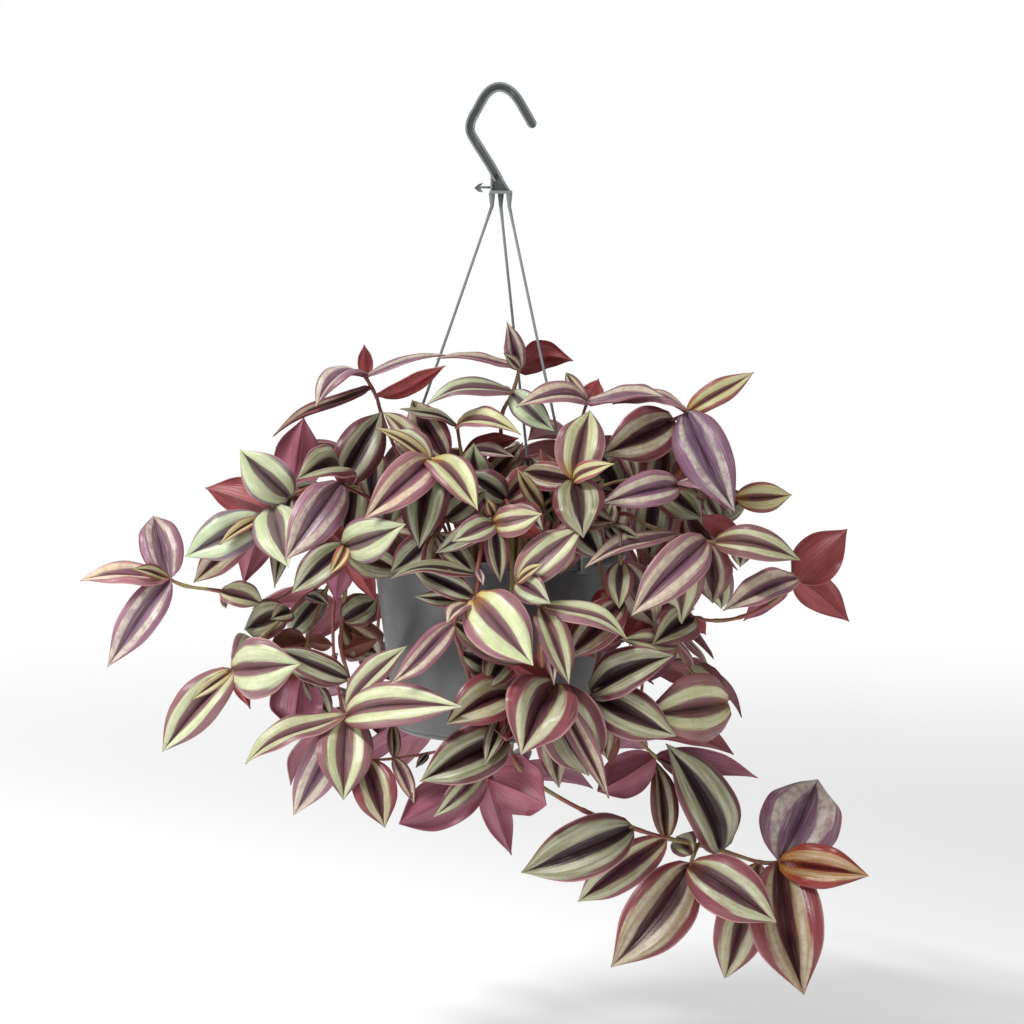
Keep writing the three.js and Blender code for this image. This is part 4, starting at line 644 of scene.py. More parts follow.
def hanger_plastic():
    # The same resin in a grey-green, glossier from a polished mould, and paler where it is scuffed.
    # Painted shade darkens the web between the flanges, so that the flanges show paler. The scuffs are about
    # 6 mm across.
    look = bpy.context.scene.spiderwort_hanger
    material, tree, shader = new_material("moulded_polypropylene_green_grey", {"IOR": POLYPROPYLENE_IOR})
    scuffs = object_spots(tree, 6, (1, 1, 0.35))
    # Painted shade: the web between the flanges darkened to 45 % of the plastic, full plastic out at the
    # flanges
    place_in_object = add(tree, "TexCoord").node.outputs["Object"]
    web_shade_mask = add(tree, "SeparateXYZ", (place_in_object,)).node.outputs["Y"]
    web_shade_mask = add(tree, "Math", (web_shade_mask,), operation="ABSOLUTE")
    tint = lay_over(tree, rgba(look.plastic, 0.45), rgba(look.plastic), web_shade_mask, 0.9 * MM, 2.4 * MM)
    tint = lay_over(tree, tint, rgba(look.thin), scuffs, 0.5, 0.8, 0, 0.35)
    gloss = add(tree, "MapRange", (scuffs, 0.35, 0.75, 0.28, 0.42), **STEP)
    relief = add(tree, "Bump", {"Height": scuffs, "Distance": 0.03 * MM, "Strength": 0.3})
    feed(shader, {"Base Color": tint, "Roughness": gloss, "Normal": relief})
    return material


def peat():
    # Moist peat with composted bark: near black in the hollows, brown fibres of 4 mm and grains of 0.9 mm
    # above.
    look = bpy.context.scene.spiderwort_soil
    material, tree, shader = new_material("peat_and_bark", {"Roughness": 0.9})
    fibre = object_spots(tree, 4, (1, 1, 2), 8, 0.7)
    grain = object_spots(tree, 0.9, detail=4, roughness=0.6)
    tint = lay_over(tree, rgba(look.peat), rgba(look.bark), fibre, 0.42, 0.68)
    tint = lay_over(tree, tint, rgba(look.peat, 0.4), grain, 0.35, 0.7, 0, 0.45)
    height = add(tree, "Math", (fibre, grain), **PLUS)
    relief = add(tree, "Bump", {"Height": height, "Distance": 0.9 * MM, "Strength": 0.8})
    feed(shader, {"Base Color": tint, "Normal": relief})
    return material


def stalk_skin():
    # Succulent stalk: smooth skin, wine red where the sun reached it and olive in the shade, in patches of
    # 30 mm, with fine lengthwise fibres 1.2 mm apart and a slight wet gloss.
    look = bpy.context.scene.spiderwort_stalks
    material, tree, shader = new_material("stalk_skin", {"Roughness": 0.42})
    patches = object_spots(tree, 30)
    fibres = object_spots(tree, 1.2, (1, 1, 0.3))
    tint = lay_over(tree, rgba(look.red), rgba(look.green), patches, 0.46, 0.62)
    tint = lay_over(tree, tint, rgba(look.red, 0.45), fibres, 0.45, 0.75, 0, 0.4)
    relief = add(tree, "Bump", {"Height": fibres, "Distance": 0.2 * MM, "Strength": 0.4})
    feed(shader, {"Base Color": tint, "Normal": relief})
    return material


def leaf_coordinates(tree):
    """Across the blade from 0 to 1, from its midrib 0 to its margin 1, along it from foot 0 to tip 1."""
    uv = add(tree, "UVMap", uv_map="leaf")
    x, along, _ = add(tree, "SeparateXYZ", (uv,)).node.outputs
    across = add(tree, "Math", (x, 2, -1), **TIMES_PLUS)
    return x, add(tree, "Math", (across,), operation="ABSOLUTE"), along


def leaf_streaks(tree, x, along, lines, runs):
    """Noise drawn out along the leaf: so many lines across it and runs along it, different on every leaf."""
    own = add(tree, "Attribute", attribute_name="own").node.outputs["Fac"]
    stretched = ((x, lines), (along, runs), (own, LEAF_SHIFT))
    parts = [add(tree, "Math", (value, times), **TIMES) for value, times in stretched]
    return add(tree, "TexNoise", (add(tree, "CombineXYZ", parts), 1, 3))


def leaf_veins(tree, across, skin):
    """Relief of the veins, on top of that of the skin."""
    waves = add(tree, "Math", (across, VEIN_WAVES), **TIMES)
    waves = add(tree, "Math", (waves,), operation="SINE")
    return add(tree, "Math", (waves, VEIN_SHARE, skin), **TIMES_PLUS)


def silver_bands(tree, across, along, pattern, streaks, chance):
    """How silver the upper face is, from 0 to 1: bands that narrow the middle and widen to the margin towards
    the tip, with edges that stray along the streaks."""
    start, end, streaked = pattern
    loose = add(tree, "Math", (streaked, 0.25, 0.15), **TIMES_PLUS)
    stray = add(tree, "Math", streaks, **PLUS)
    stray = add(tree, "Math", (stray, -1), **PLUS)
    stray = add(tree, "Math", (stray, loose), **TIMES)
    narrowing = add(tree, "Math", (along, 3.5), **TO_POWER)
    narrowing = add(tree, "Math", (1, narrowing), **MINUS)
    inner = add(tree, "Math", (start, narrowing, stray), **TIMES_PLUS)
    widening = add(tree, "Math", (along, 2.2), **TO_POWER)
    reach = add(tree, "Math", (chance, 0.36), **TIMES)
    widening = add(tree, "Math", (widening, reach), **TIMES)
    outer = add(tree, "Math", (end, widening), **PLUS)
    outer = add(tree, "Math", (outer, stray), **PLUS)
    past_inner = add(tree, "Math", (across, inner), **MINUS)
    past_inner = add(tree, "MapRange", (past_inner, -0.05, 0.05), **STEP)
    within_outer = add(tree, "Math", (outer, across), **MINUS)
    within_outer = add(tree, "MapRange", (within_outer, -0.05, 0.07), **STEP)
    past_foot = add(tree, "Math", (along, stray), **PLUS)
    past_foot = add(tree, "MapRange", (past_foot, 0, 0.10), **STEP)
    silver = add(tree, "Math", (past_inner, within_outer), **TIMES)
    return add(tree, "Math", (silver, past_foot), **TIMES)


def masked(tree, value, mask, *reach):
    """A smooth step of value, where the mask lets it show."""
    return add(tree, "Math", (add(tree, "MapRange", (value, *reach), **STEP), mask), **TIMES)


def leaf_upper():
    # Upper face: a purple middle and margin with a silvery band of air-filled cells on each side of the
    # midrib. The bands start ragged at the foot, widen to the margin at the tip and break at their edges into
    # streaks of about 0.5 mm along the veins. Young feet are yellow. The rim is a thin line of its own colour,
    # dark red on some leaves and a pale pink painted highlight on others. The skin is smooth with a satin
    # gloss;
    # the bands carry painted sheen in near-white patches and painted glints in cells of 0.5 mm, and are
    # blushed with purple in blots of 4 mm. The purple darkens along the midrib: its dark line, widened into
    # painted shade in the fold. The real cells are finer than would show.
    material, tree, shader = new_material("leaf_upper_face", {"IOR": LEAF_IOR})
    x, across, along = leaf_coordinates(tree)
    band, middle, margin = (add(tree, "Attribute", attribute_name=name) for name in LEAF_COLOURS[:3])
    numbers = add(tree, "Attribute", attribute_name="pattern").node.outputs
    pattern = add(tree, "SeparateXYZ", (numbers["Vector"],)).node.outputs
    streaked = pattern[2]
    broad = leaf_streaks(tree, x, along, 12, 1.8)
    fine = leaf_streaks(tree, x, along, 46, 3.5)
    cells = object_spots(tree, 0.5, detail=2)
    blots = object_spots(tree, 4, roughness=0.6)
    own = add(tree, "Attribute", attribute_name="own").node.outputs["Fac"]
    chance = add(tree, "TexWhiteNoise", (own,), noise_dimensions="1D")

    purple = lay_over(tree, middle, margin, across, 0.3, 0.6)
    flecks = masked(tree, fine, streaked, 0.48, 0.70)
    purple = add(tree, "Mix", (flecks, purple, band), **BLEND)
    halfway = add(tree, "MapRange", (along, 0.45, 0.9, 1, 0.4), **STEP)
    halfway = masked(tree, along, halfway, 0.05, 0.45, 0.25, 1)
    # Darker along the midrib, strongest halfway along: the midrib's dark line, widened into painted shade in
    # the fold
    midrib_line_and_shade = masked(tree, across, halfway, 0, 0.16, 0.6, 0)
    purple = add(tree, "Mix", (midrib_line_and_shade, purple, paint("#30161D")), **BLEND)
    purple = lay_over(tree, purple, paint("#3F241F"), along, 0.55, 0.97, 0, 0.45)

    band_with_sheen = lay_over(tree, band, margin, fine, 0.30, 0.62, 0.20, 0)
    # Painted sheen: near-white patches along the broad streaks of the band
    band_with_sheen = lay_over(tree, band_with_sheen, paint("#EFECD7"), broad, 0.35, 0.70, 0, 0.35)
    blush = masked(tree, blots, streaked, 0.40, 0.66)
    band_with_sheen = add(tree, "Mix", (blush, band_with_sheen, margin), **BLEND)
    # Painted glints: near-white specks in cells of 0.5 mm
    band_with_sheen = lay_over(tree, band_with_sheen, paint("#E7EADD"), cells, 0.45, 0.75, 0, 0.16)

    silver = silver_bands(tree, across, along, pattern, (broad, fine), chance)
    tint = add(tree, "Mix", (silver, purple, band_with_sheen), **BLEND)
    warmth = masked(tree, along, numbers["Alpha"], 0.02, 0.30, 0.9, 0)
    tint = add(tree, "Mix", (warmth, tint, paint("#CB8B3F")), blend_type="SOFT_LIGHT", **BLEND)
    yellow = add(tree, "Math", (warmth, 0.45), **TIMES)
    tint = add(tree, "Mix", (yellow, tint, paint("#BF9B45")), **BLEND)
    # The rim: a thin dark red line on some leaves, and a pale pink painted highlight on others
    rim = lay_over(tree, paint("#7C3845"), paint("#BF9090"), chance, 0.3, 0.7)
    outmost = add(tree, "Math", (broad, 0.06, across), **TIMES_PLUS)
    tint = lay_over(tree, tint, rim, outmost, 0.95, 1, 0, 0.7)
    gloss = add(tree, "MapRange", (broad, 0.3, 0.7, 0.22, 0.38), **STEP)
    veins = leaf_veins(tree, across, add(tree, "Math", (fine, cells), **PLUS))
    relief = add(tree, "Bump", {"Height": veins, "Distance": 0.2 * MM, "Strength": 0.5})
    feed(shader, {"Base Color": tint, "Roughness": gloss, "Normal": relief})
    return material


def leaf_under():
    # Underside: wine red to dusty rose, paler between the veins and darker towards the foot, a little
    # rougher than the upper face.
    material, tree, shader = new_material("leaf_underside", {"Roughness": 0.40, "IOR": LEAF_IOR})
    x, across, along = leaf_coordinates(tree)
    broad = leaf_streaks(tree, x, along, 8, 2)
    fine = leaf_streaks(tree, x, along, 44, 3)
    tint = add(tree, "Attribute", attribute_name="under")
    tint = lay_over(tree, tint, paint("#6C2730"), broad, 0.3, 0.7, 0, 0.4)
    tint = lay_over(tree, tint, paint("#CB9EA2"), fine, 0.40, 0.80, 0, 0.22)
    tint = lay_over(tree, tint, paint("#692727"), along, 0, 0.35, 0.35, 0)
    tint = lay_over(tree, tint, paint("#692738"), across, 0.02, 0.07, 0.5, 0)
    veins = leaf_veins(tree, across, fine)
    relief = add(tree, "Bump", {"Height": veins, "Distance": 0.2 * MM, "Strength": 0.5})
    feed(shader, {"Base Color": tint, "Normal": relief})
    return material


# ---- places, in mm from the rim until in_frame ----
def rad(degrees):
    return math.radians(degrees)


def mix(a, b, t):
    return a + (b - a) * t


def unit(v):
    return v / np.linalg.norm(v)


def vec(x, y, z):
    return np.array([x, y, z], float)


UP = vec(0, 0, 1)


def in_frame(points):
    """From mm above the rim to metres in the part's frame."""
    return (np.asarray(points, float) - (0, 0, SEAT_HEIGHT)) * MM


def section_in_frame(section):
    """A section's (radius, height above the rim) in mm, in metres in the part's frame."""
    return [(radius * MM, (z - SEAT_HEIGHT) * MM) for radius, z in section]


def bearing_point(bearing, radius, z):
    return vec(radius * math.cos(rad(bearing)), -radius * math.sin(rad(bearing)), z)


DIP_COS = math.cos(rad(SHEET["dip"]))
DIP_SIN = math.sin(rad(SHEET["dip"]))
EYE = vec(SHEET["x"], -SHEET["eye"] * DIP_COS, SHEET["z"] + SHEET["eye"] * DIP_SIN)


def place(x, h, f=0):
    """From the front elevation to space: across, up and in front of the pot's axis."""
    up = h - SHEET["z"]
    on_sheet = vec(x, up * DIP_SIN, SHEET["z"] + up * DIP_COS)
    reach = (SHEET["eye"] * DIP_COS - f) / (SHEET["eye"] * DIP_COS + up * DIP_SIN)
    return (on_sheet - EYE) * reach + EYE


def pot_outer_radius(z):
    return mix(RIM_RADIUS - LIP_WIDTH, POT_BASE_RADIUS, -z / POT_HEIGHT)


# ---- leafy stems, set out as on the solids ----
class Draw:
    """A repeatable random number from 0 to 1, the same as on the solids."""
    factor = 16807
    span = 2147483647

    def __init__(self, seed):
        self.state = seed

    def __call__(self):
        self.state = (self.state * self.factor) % self.span
        return self.state / self.span


def curve_point(points, at):
    """A point on the smooth curve through the points, at a place counted in points."""
    last = len(points) - 1
    i = min(int(math.floor(at)), last - 1)
    t = at - i
    a, b, c, d = points[max(i - 1, 0)], points[i], points[i + 1], points[min(i + 2, last)]
    bend = (2 * a - 5 * b + 4 * c - d) * t ** 2 + (3 * b - a - 3 * c + d) * t ** 3
    return 0.5 * (2 * b + (c - a) * t + bend)


def root_points(root, towards):
    """Straight up through the growing medium, then leaning over the rim."""
    bearing, radius = root
    up = bearing_point(bearing, radius, 0)
    lean = mix(up, towards, LEAN_SHARE)
    lean[2] = max(towards[2] * 0.5, LEAN_HEIGHT)
    return [vec(up[0], up[1], -SOIL_DROP - HOLE_DEPTH + GAP), vec(up[0], up[1], -SOIL_DROP + 1), lean]


def face_normal(along, base, turn):
    """Out of the upper face of a blade, turned from the front by turn degrees."""
    front = unit(EYE - base)
    facing = unit(front - along * front.dot(along))
    upward = np.cross(along, facing) if along[0] < 0 else np.cross(facing, along)
    return facing * math.cos(rad(turn)) + upward * math.sin(rad(turn))


def drawn_stem(row):
    name, root, radius, via, leaves = row
    route = [place(*point) for point in via]
    points = root_points(root, route[0]) + route if root else route
    skip = len(points) - len(route)
    blades = []
    for at, x, h, f, width, turn, arch, tone in leaves:
        base = curve_point(points, skip + at)
        tip = place(x, h, f)
        normal = face_normal(unit(tip - base), base, turn)
        blades.append({
            "base": base, "tip": tip, "normal": normal, "width": width, "arch": arch, "at": skip + at,
            "tone": tone})
    return {"name": f"stem_{name}", "radius": radius, "points": points, "blades": blades}


def ruled_blades(points, out, side, size, draw):
    """One leaf at each node, by turns left and right, and three at the tip."""
    rule = RULED_LEAF
    blades = []
    last = len(points) - 1
    for node in range(FIRST_NODE, last + 1):
        spreads = TIP_SPREADS if node == last else (PAIR_SPREAD if node % 2 else -PAIR_SPREAD,)
        for spread in spreads:
            direction = out * mix(*rule["out"], draw())
            direction = direction + side * spread * mix(*rule["side"], draw())
            direction = unit(direction + UP * mix(*rule["rise"], draw()))
            long = size * mix(*rule["length"], draw())
            normal = out * rule["face_out"] + UP * mix(*rule["face_up"], draw())
            normal = unit(normal - direction * normal.dot(direction))
            width = long * mix(*rule["width"], draw())
            blades.append({
                "base": points[node], "tip": points[node] + direction * long, "normal": normal,
                "width": width, "arch": mix(*rule["arch"], draw()), "at": node,
                "tone": RULED_TONES[len(blades) % len(RULED_TONES)]})
    return blades


def ruled_stem(group, index, draw):
    """A stem that trails over the rim where its group has drops, and rises where it has rises."""
    share = index / (group["count"] - 1)
    bearing = mix(group["from"], group["to"], share) + mix(-BEARING_PLAY, BEARING_PLAY, draw())
    out = bearing_point(bearing, 1, 0)
    side = vec(-out[1], out[0], 0)
    sway = mix(-SWAY, SWAY, draw())

    def at(distance, height, drift):
        return out * distance + side * drift * sway + UP * height

    if "drops" in group:
        drop = mix(*group["drops"], draw())
        spread = mix(*group["spreads"], draw())
        route = [at(*CREST, 4), at(spread, -TRAIL_TOP, TRAIL_DRIFT)]
        nodes = max(2, math.floor(drop / NODE_DISTANCE + 0.5))
        for n in range(1, nodes + 1):
            away = spread + TRAIL_WAVE * math.sin(n)
            route.append(at(away, -TRAIL_TOP - (drop * n) / nodes, TRAIL_DRIFT * (1 + n)))
    else:
        rise = mix(*group["rises"], draw())
        spread = mix(*group["spreads"], draw())
        radius = group["radius"]
        route = [at(radius + 6, rise * 0.45, 10), at(mix(radius, spread, 0.5), rise * 0.85, 30)]
        route.append(at(spread, rise, 60))
    root = (bearing, group["radius"] + mix(-RADIUS_PLAY, RADIUS_PLAY, draw()))
    points = root_points(root, route[0]) + route
    return {
        "name": f"stem_{group['name']}_{index + 1}", "radius": RULED_RADIUS, "points": points,
        "blades": ruled_blades(points, out, side, group["size"], draw)}


def all_stems():
    draw = Draw(STEM_SEED)
    stems = [drawn_stem(row) for row in STEMS]
    for group in RULED_STEMS:
        stems += [ruled_stem(group, i, draw) for i in range(group["count"])]
    return stems


def blade_choices():
    """Small turns of a blade about its foot, the least visible first."""
    choices = []
    for lift in LIFTS:
        for swing in SWINGS:
            for twist in TWISTS:
                shows = abs(lift) * LIFT_WEIGHT + abs(swing) * SWING_WEIGHT + abs(twist) / TWIST_DIVISOR
                choices.append((shows, lift, swing, twist))
    choices.sort(key=lambda choice: choice[0])
    return [choice[1:] for choice in choices]


def turned_blade(blade, choice, order):
    lift, swing, twist = choice
    long = np.linalg.norm(blade["tip"] - blade["base"])
    along = unit(blade["tip"] - blade["base"])
    side = np.cross(along, blade["normal"])
    aim = unit(along + blade["normal"] * lift + side * swing)
    face = blade["normal"] + side * math.tan(rad(twist))
    normal = unit(face - aim * face.dot(aim))
    return {**blade, "tip": blade["base"] + aim * long * (1 - CHOICE_SHRINK * order), "normal": normal}


def settled_blades(stem, choices):
    """The blades that the stem's solid holds, each turned as it is there."""
    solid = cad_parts[stem["name"]].data
    corners = np.empty(3 * len(solid.vertices))
    solid.vertices.foreach_get("co", corners)
    corners = corners.reshape(-1, 3) / MM + (0, 0, SEAT_HEIGHT)
    settled = []
    for blade in stem["blades"]:
        turned = [turned_blade(blade, choice, i) for i, choice in enumerate(choices)]
        tips = np.array([t["tip"] for t in turned])
        reach = 1.05 * np.linalg.norm(blade["tip"] - blade["base"])
        near = corners[np.linalg.norm(corners - blade["base"], axis=1) < reach]
        misses = np.linalg.norm(tips[:, None, :] - near[None, :, :], axis=2).min(axis=1)
        if misses.min() < TIP_MATCH:
            settled.append(turned[int(misses.argmin())])
    return settled


# ---- leaves and stalks ----
LEAF_COLOURS = ("band", "middle", "margin", "under")
START_PLAY = 0.05
END_PLAY = 0.08
WARM_SHARE = 0.5  # how far the warmth of a leaf may stray, against its lightness

# The outline of a blade: powers that widen it from the foot and narrow it to the tip, what brings its widest
# place to the full width, and how far and from where the drip tip is drawn in
FOOT_POWER = 0.62
TIP_POWER = 0.82
OUTLINE_SCALE = 2.676
DRIP = 0.55
DRIP_START = 0.62

# How a blade may differ from its neighbours: shares of its settings, ripples along it, and a sideways bend
FOLD_SHARES = (0.5, 1.5)
PUFF_SHARES = (0.6, 1.4)
WAVE_SHARES = (0.4, 1.6)
RIPPLES = (1.6, 2.8)
SIDE_BEND = 0.035
SLENDER_FOLD = 0.45  # added to the fold of a slender leaf
CLASP = 0.9  # rise of the margins round the stalk, over CLASP_LENGTH of the blade
CLASP_LENGTH = 0.1
ROLL = 0.12  # how far the very margin turns down
TWIRL_CENTRE = 0.3


def paint_leaf(mesh, blade, own):
    """Writes a leaf's number and its colours, a little lighter or darker than its neighbours."""
    variation = bpy.context.scene.spiderwort_leaves.variation
    count = len(mesh.vertices)
    spread = random.Random(own)
    light = 1 + variation * spread.uniform(-1, 1)
    warm = 1 + WARM_SHARE * variation * spread.uniform(-1, 1)
    *codes, start, end, streaked, foot = TONES[blade["tone"]]
    values = {}
    for name, code in zip(LEAF_COLOURS, codes):
        red, green, blue = linear(code)
        values[name] = (min(red * light * warm, 1), min(green * light, 1), min(blue * light / warm, 1), 1)
    start += spread.uniform(-START_PLAY, START_PLAY)
    end += spread.uniform(-END_PLAY, END_PLAY)
    values["pattern"] = (start, end, streaked, foot)
    for name, value in values.items():
        mesh.attributes[name].data.foreach_set("color", np.tile(np.array(value, np.float32), count))
    mesh.attributes["own"].data.foreach_set("value", np.full(count, own, np.float32))


def leaf_half_width(v):
    """Half the width of a blade from foot 0 to tip 1, against its full half width."""
    half = OUTLINE_SCALE * np.clip(v, 0.004, 1) ** FOOT_POWER * np.clip(1 - v, 0.003, 1) ** TIP_POWER
    return half * (1 - DRIP * np.clip((v - DRIP_START) / (1 - DRIP_START), 0, 1) ** 2)


def shape_leaf(mesh, blade, own):
    """Bends the flat pattern blade to its midrib: rounded foot, drawn-out tip, folded, waved and twisted."""
    look = bpy.context.scene.spiderwort_leaves
    spread = random.Random(own + 0.5)
    flat = np.empty(3 * len(mesh.vertices))
    mesh.vertices.foreach_get("co", flat)
    u, v = flat.reshape(-1, 3)[:, 0], (flat.reshape(-1, 3)[:, 1] + 1) / 2
    long = np.linalg.norm(blade["tip"] - blade["base"])
    along = unit(blade["tip"] - blade["base"])
    normal = blade["normal"]
    side = np.cross(along, normal)
    half = blade["width"] / 2 * leaf_half_width(v)
    slope = 4 * blade["arch"] * (1 - 2 * v)
    up = (normal - along * slope[:, None]) / np.sqrt(1 + slope[:, None] ** 2)
    slender = np.clip(1.6 - 5 * blade["width"] / long, 0, 1)
    out = np.abs(u)
    fold = (look.fold * spread.uniform(*FOLD_SHARES) + SLENDER_FOLD * slender) * out
    bulge = look.puff * spread.uniform(*PUFF_SHARES) * 4 * out * (1 - out)
    ripples = spread.uniform(*RIPPLES)
    phase = np.where(u > 0, spread.uniform(0, 6.3), spread.uniform(0, 6.3))
    wave = look.wave * spread.uniform(*WAVE_SHARES) * out ** 2 * np.sin(2 * math.pi * ripples * v + phase)
    clasp = CLASP * out * np.clip(1 - v / CLASP_LENGTH, 0, 1) ** 2
    lift = half * (fold + bulge + wave + clasp - ROLL * out ** 6)
    bend = spread.uniform(-SIDE_BEND, SIDE_BEND) * long * 4 * v * (1 - v)
    twirl = look.twirl * spread.uniform(-1, 1) * (v - TWIRL_CENTRE) * half * u
    points = blade["base"] + along * (long * v)[:, None]
    curl = look.curl * spread.uniform(-1, 1) * long * np.sin(2 * math.pi * v)
    points = points + normal * (4 * blade["arch"] * long * v * (1 - v) + curl)[:, None]
    points = points + side * (u * half + bend)[:, None] + up * (lift + twirl)[:, None]
    # A leaf keeps inside the box of the solids
    inside = [np.array(CAD_BOX[0]) + look.thickness, np.array(CAD_BOX[1]) - look.thickness]
    points = np.clip(in_frame(points), *inside)
    mesh.vertices.foreach_set("co", points.astype(np.float32).ravel())
    mesh.update()


def pattern_blade(looks):
    """The flat blade that every leaf is bent from: a fine grid with its map, materials and attributes."""
    look = bpy.context.scene.spiderwort_leaves
    clear_selection()
    bpy.ops.mesh.primitive_grid_add(x_subdivisions=look.columns, y_subdivisions=look.rows, size=2)
    pattern = bpy.context.object
    pattern.data.uv_layers[0].name = "leaf"
    pattern.data.attributes.new("own", "FLOAT", "POINT")
    for name in (*LEAF_COLOURS, "pattern"):
        pattern.data.attributes.new(name, "FLOAT_COLOR", "POINT")
    for material in looks:
        pattern.data.materials.append(material)
    return pattern


def model_leaves(name, blades, pattern, first_own):
    """All the leaves of a stem, each a bent copy of the pattern, given their thickness together."""
    leaves = []
    for own, blade in enumerate(blades, first_own):
        leaf = link_object(pattern.name, pattern.data.copy())
        shape_leaf(leaf.data, blade, own)
        paint_leaf(leaf.data, blade, own)
        leaves.append(leaf)
    spray = join_pieces(leaves, name)
    thickness = bpy.context.scene.spiderwort_leaves.thickness
    apply_modifier(spray, "SOLIDIFY", thickness=thickness, offset=-1, material_offset=1)
    return spray


def model_stalk(stem, looks):
    """A stalk with swollen nodes, each with its sheath, and a bud at the tip."""
    look = bpy.context.scene.spiderwort_stalks
    points = stem["points"]
    last = len(points) - 1
    places = []
    for i in range(last):
        steps = max(2, math.ceil(np.linalg.norm(points[i + 1] - points[i]) * MM / look.step))
        places += [i + k / steps for k in range(steps)]
    places.append(last)
    route = [curve_point(points, at) for at in places]
    run = np.concatenate([[0], np.cumsum([np.linalg.norm(b - a) for a, b in zip(route, route[1:])])])
    nodes = set(range(FIRST_NODE - 1, last + 1)) | {blade["at"] for blade in stem["blades"]}
    node_runs = np.interp(sorted(nodes), places, run)
    sheath = look.sheath / MM
    radii = []
    for s in run:
        past = s - node_runs
        swell = look.node_swell * np.exp(-(past / SWELL_LENGTH) ** 2).max(initial=0)
        wrap = SHEATH_SHARE * np.any((past > 0) & (past < sheath))
        radii.append(stem["radius"] * mix(1, STEM_TAPER, s / run[-1]) * (1 + swell + wrap))
    tip = unit(route[-1] - route[-2])
    for reach, share in BUD_RINGS:
        route.append(curve_point(points, last) + tip * reach * stem["radius"])
        radii.append(stem["radius"] * share)
    stalk = draw_tube(stem["name"] + "_stalk", in_frame(route), radii, 3)
    for material in looks:
        stalk.data.materials.append(material)
    skin = np.full(len(stalk.data.polygons), len(looks) - 1, np.int32)
    stalk.data.polygons.foreach_set("material_index", skin)
    return stalk


def model_stems(stems):
    """One finished piece for each named stem, with its side shoots."""
    choices = blade_choices()
    looks = (leaf_upper(), leaf_under(), stalk_skin())
    pattern = pattern_blade(looks)
    own = 1
    for name in dict.fromkeys(stem["name"] for stem in stems):
        pieces = []
        for stem in (s for s in stems if s["name"] == name):
            blades = settled_blades(stem, choices)
            pieces.append(model_leaves(name, blades, pattern, own))
            pieces.append(model_stalk(stem, looks))
            own += len(stem["blades"])
        whole = join_pieces(pieces, name.replace("stem_", "leafy_stem_"))
        activate(whole)
        bpy.ops.object.shade_smooth_by_angle(angle=rad(LEAF_CREASE))
        hand_over(whole, name, "leaf")
    bpy.data.objects.remove(pattern)


def ruled_names():
    return {f"stem_{group['name']}_{i + 1}" for group in RULED_STEMS for i in range(group["count"])}


class SPIDERWORT_OT_front_stems(bpy.types.Operator):
    """Models the leafy stems at the front and the sides"""
    bl_idname = "spiderwort.front_stems"
    bl_label = "Front stems"

    def execute(self, context):
        model_stems([stem for stem in all_stems() if stem["name"] not in ruled_names()])
        return {"FINISHED"}


class SPIDERWORT_OT_back_stems(bpy.types.Operator):
    """Models the leafy stems at the back, which follow a rule"""
    bl_idname = "spiderwort.back_stems"
    bl_label = "Back stems"

    def execute(self, context):
        model_stems([stem for stem in all_stems() if stem["name"] in ruled_names()])
        return {"FINISHED"}


# ---- pot ----
class SPIDERWORT_OT_pot(bpy.types.Operator):
    """Models the moulded pot: lip, tapered wall, step at the foot and a recess under it"""
    bl_idname = "spiderwort.pot"
    bl_label = "Pot"

    def execute(self, context):
        look = context.scene.spiderwort_pot
        bottom = -look.height / MM
        wall = look.wall / MM
        rim = look.rim_radius / MM
        recess = look.recess / MM
        foot = bottom + FOOT_HEIGHT
        foot_radius = pot_outer_radius(foot) - FOOT_INSET
        corner = foot_radius - FOOT_CORNER
        lip_root = pot_outer_radius(-LIP_DEPTH)

        def inner(z):
            return pot_outer_radius(z) - wall

        # The recess under the pot, the ring that it stands on and the round corner of its foot
        profile = [
            (corner - 4, bottom + recess), (corner - 3, bottom + recess * 0.98),
            (corner - 2.4, bottom + 0.05), (corner, bottom)]
        for angle in (rad(18 * step) for step in range(1, 6)):
            across, up = math.sin(angle), 1 - math.cos(angle)
            profile.append((corner + FOOT_CORNER * across, bottom + FOOT_CORNER * up))
        # The step above the foot, and the wall up to the lip
        profile += [
            (foot_radius, foot - 0.3), (pot_outer_radius(foot) - 0.3, foot + 0.1),
            (pot_outer_radius(foot + 0.5), foot + 0.5), (lip_root, -LIP_DEPTH - 0.3)]
        # The lip, with its edges rounded
        under = -LIP_DEPTH
        profile += [
            (lip_root + 0.3, under + 0.01), (rim - 0.7, under + 0.02), (rim - 0.35, under + 0.4), (rim, -1.2),
            (rim - 0.15, -0.6), (rim - 0.7, -0.12), (rim - 1.3, 0)]
        # Down the inside, to the middle of the floor
        profile += [
            (inner(0) + 0.9, -0.02), (inner(0) + 0.3, -0.3), (inner(-1.0), -1.0),
            (inner(bottom + BASE_CORNER), bottom + BASE_CORNER), (inner(bottom) - 5, bottom + wall)]
        shell = turn_up(section_in_frame(profile), POT_SIDES)
        activate(shell)
        bpy.ops.object.shade_smooth_by_angle(angle=rad(MOULD_CREASE))
        shell = join_pieces([shell], "pot_shell")
        hand_over(shell, "pot", "pot", pot_plastic())
        return {"FINISHED"}


# ---- growing medium ----
def crumb(kind):
    """A bit of bark or a granule of peat to copy: a primitive knocked out of true."""
    clear_selection()
    if kind == "bark":
        bpy.ops.mesh.primitive_cube_add(size=1)
    else:
        bpy.ops.mesh.primitive_ico_sphere_add(subdivisions=2, radius=0.5)
    bpy.ops.object.mode_set(mode="EDIT")
    if kind == "bark":
        bpy.ops.mesh.subdivide(number_cuts=2)
    knock, seed, scale = CRUMBS[kind]
    bpy.ops.transform.vertex_random(offset=knock, seed=seed)
    bpy.ops.object.mode_set(mode="OBJECT")
    bpy.context.object.scale = scale
    bpy.ops.object.transform_apply(location=False, rotation=False, scale=True)
    return bpy.context.object


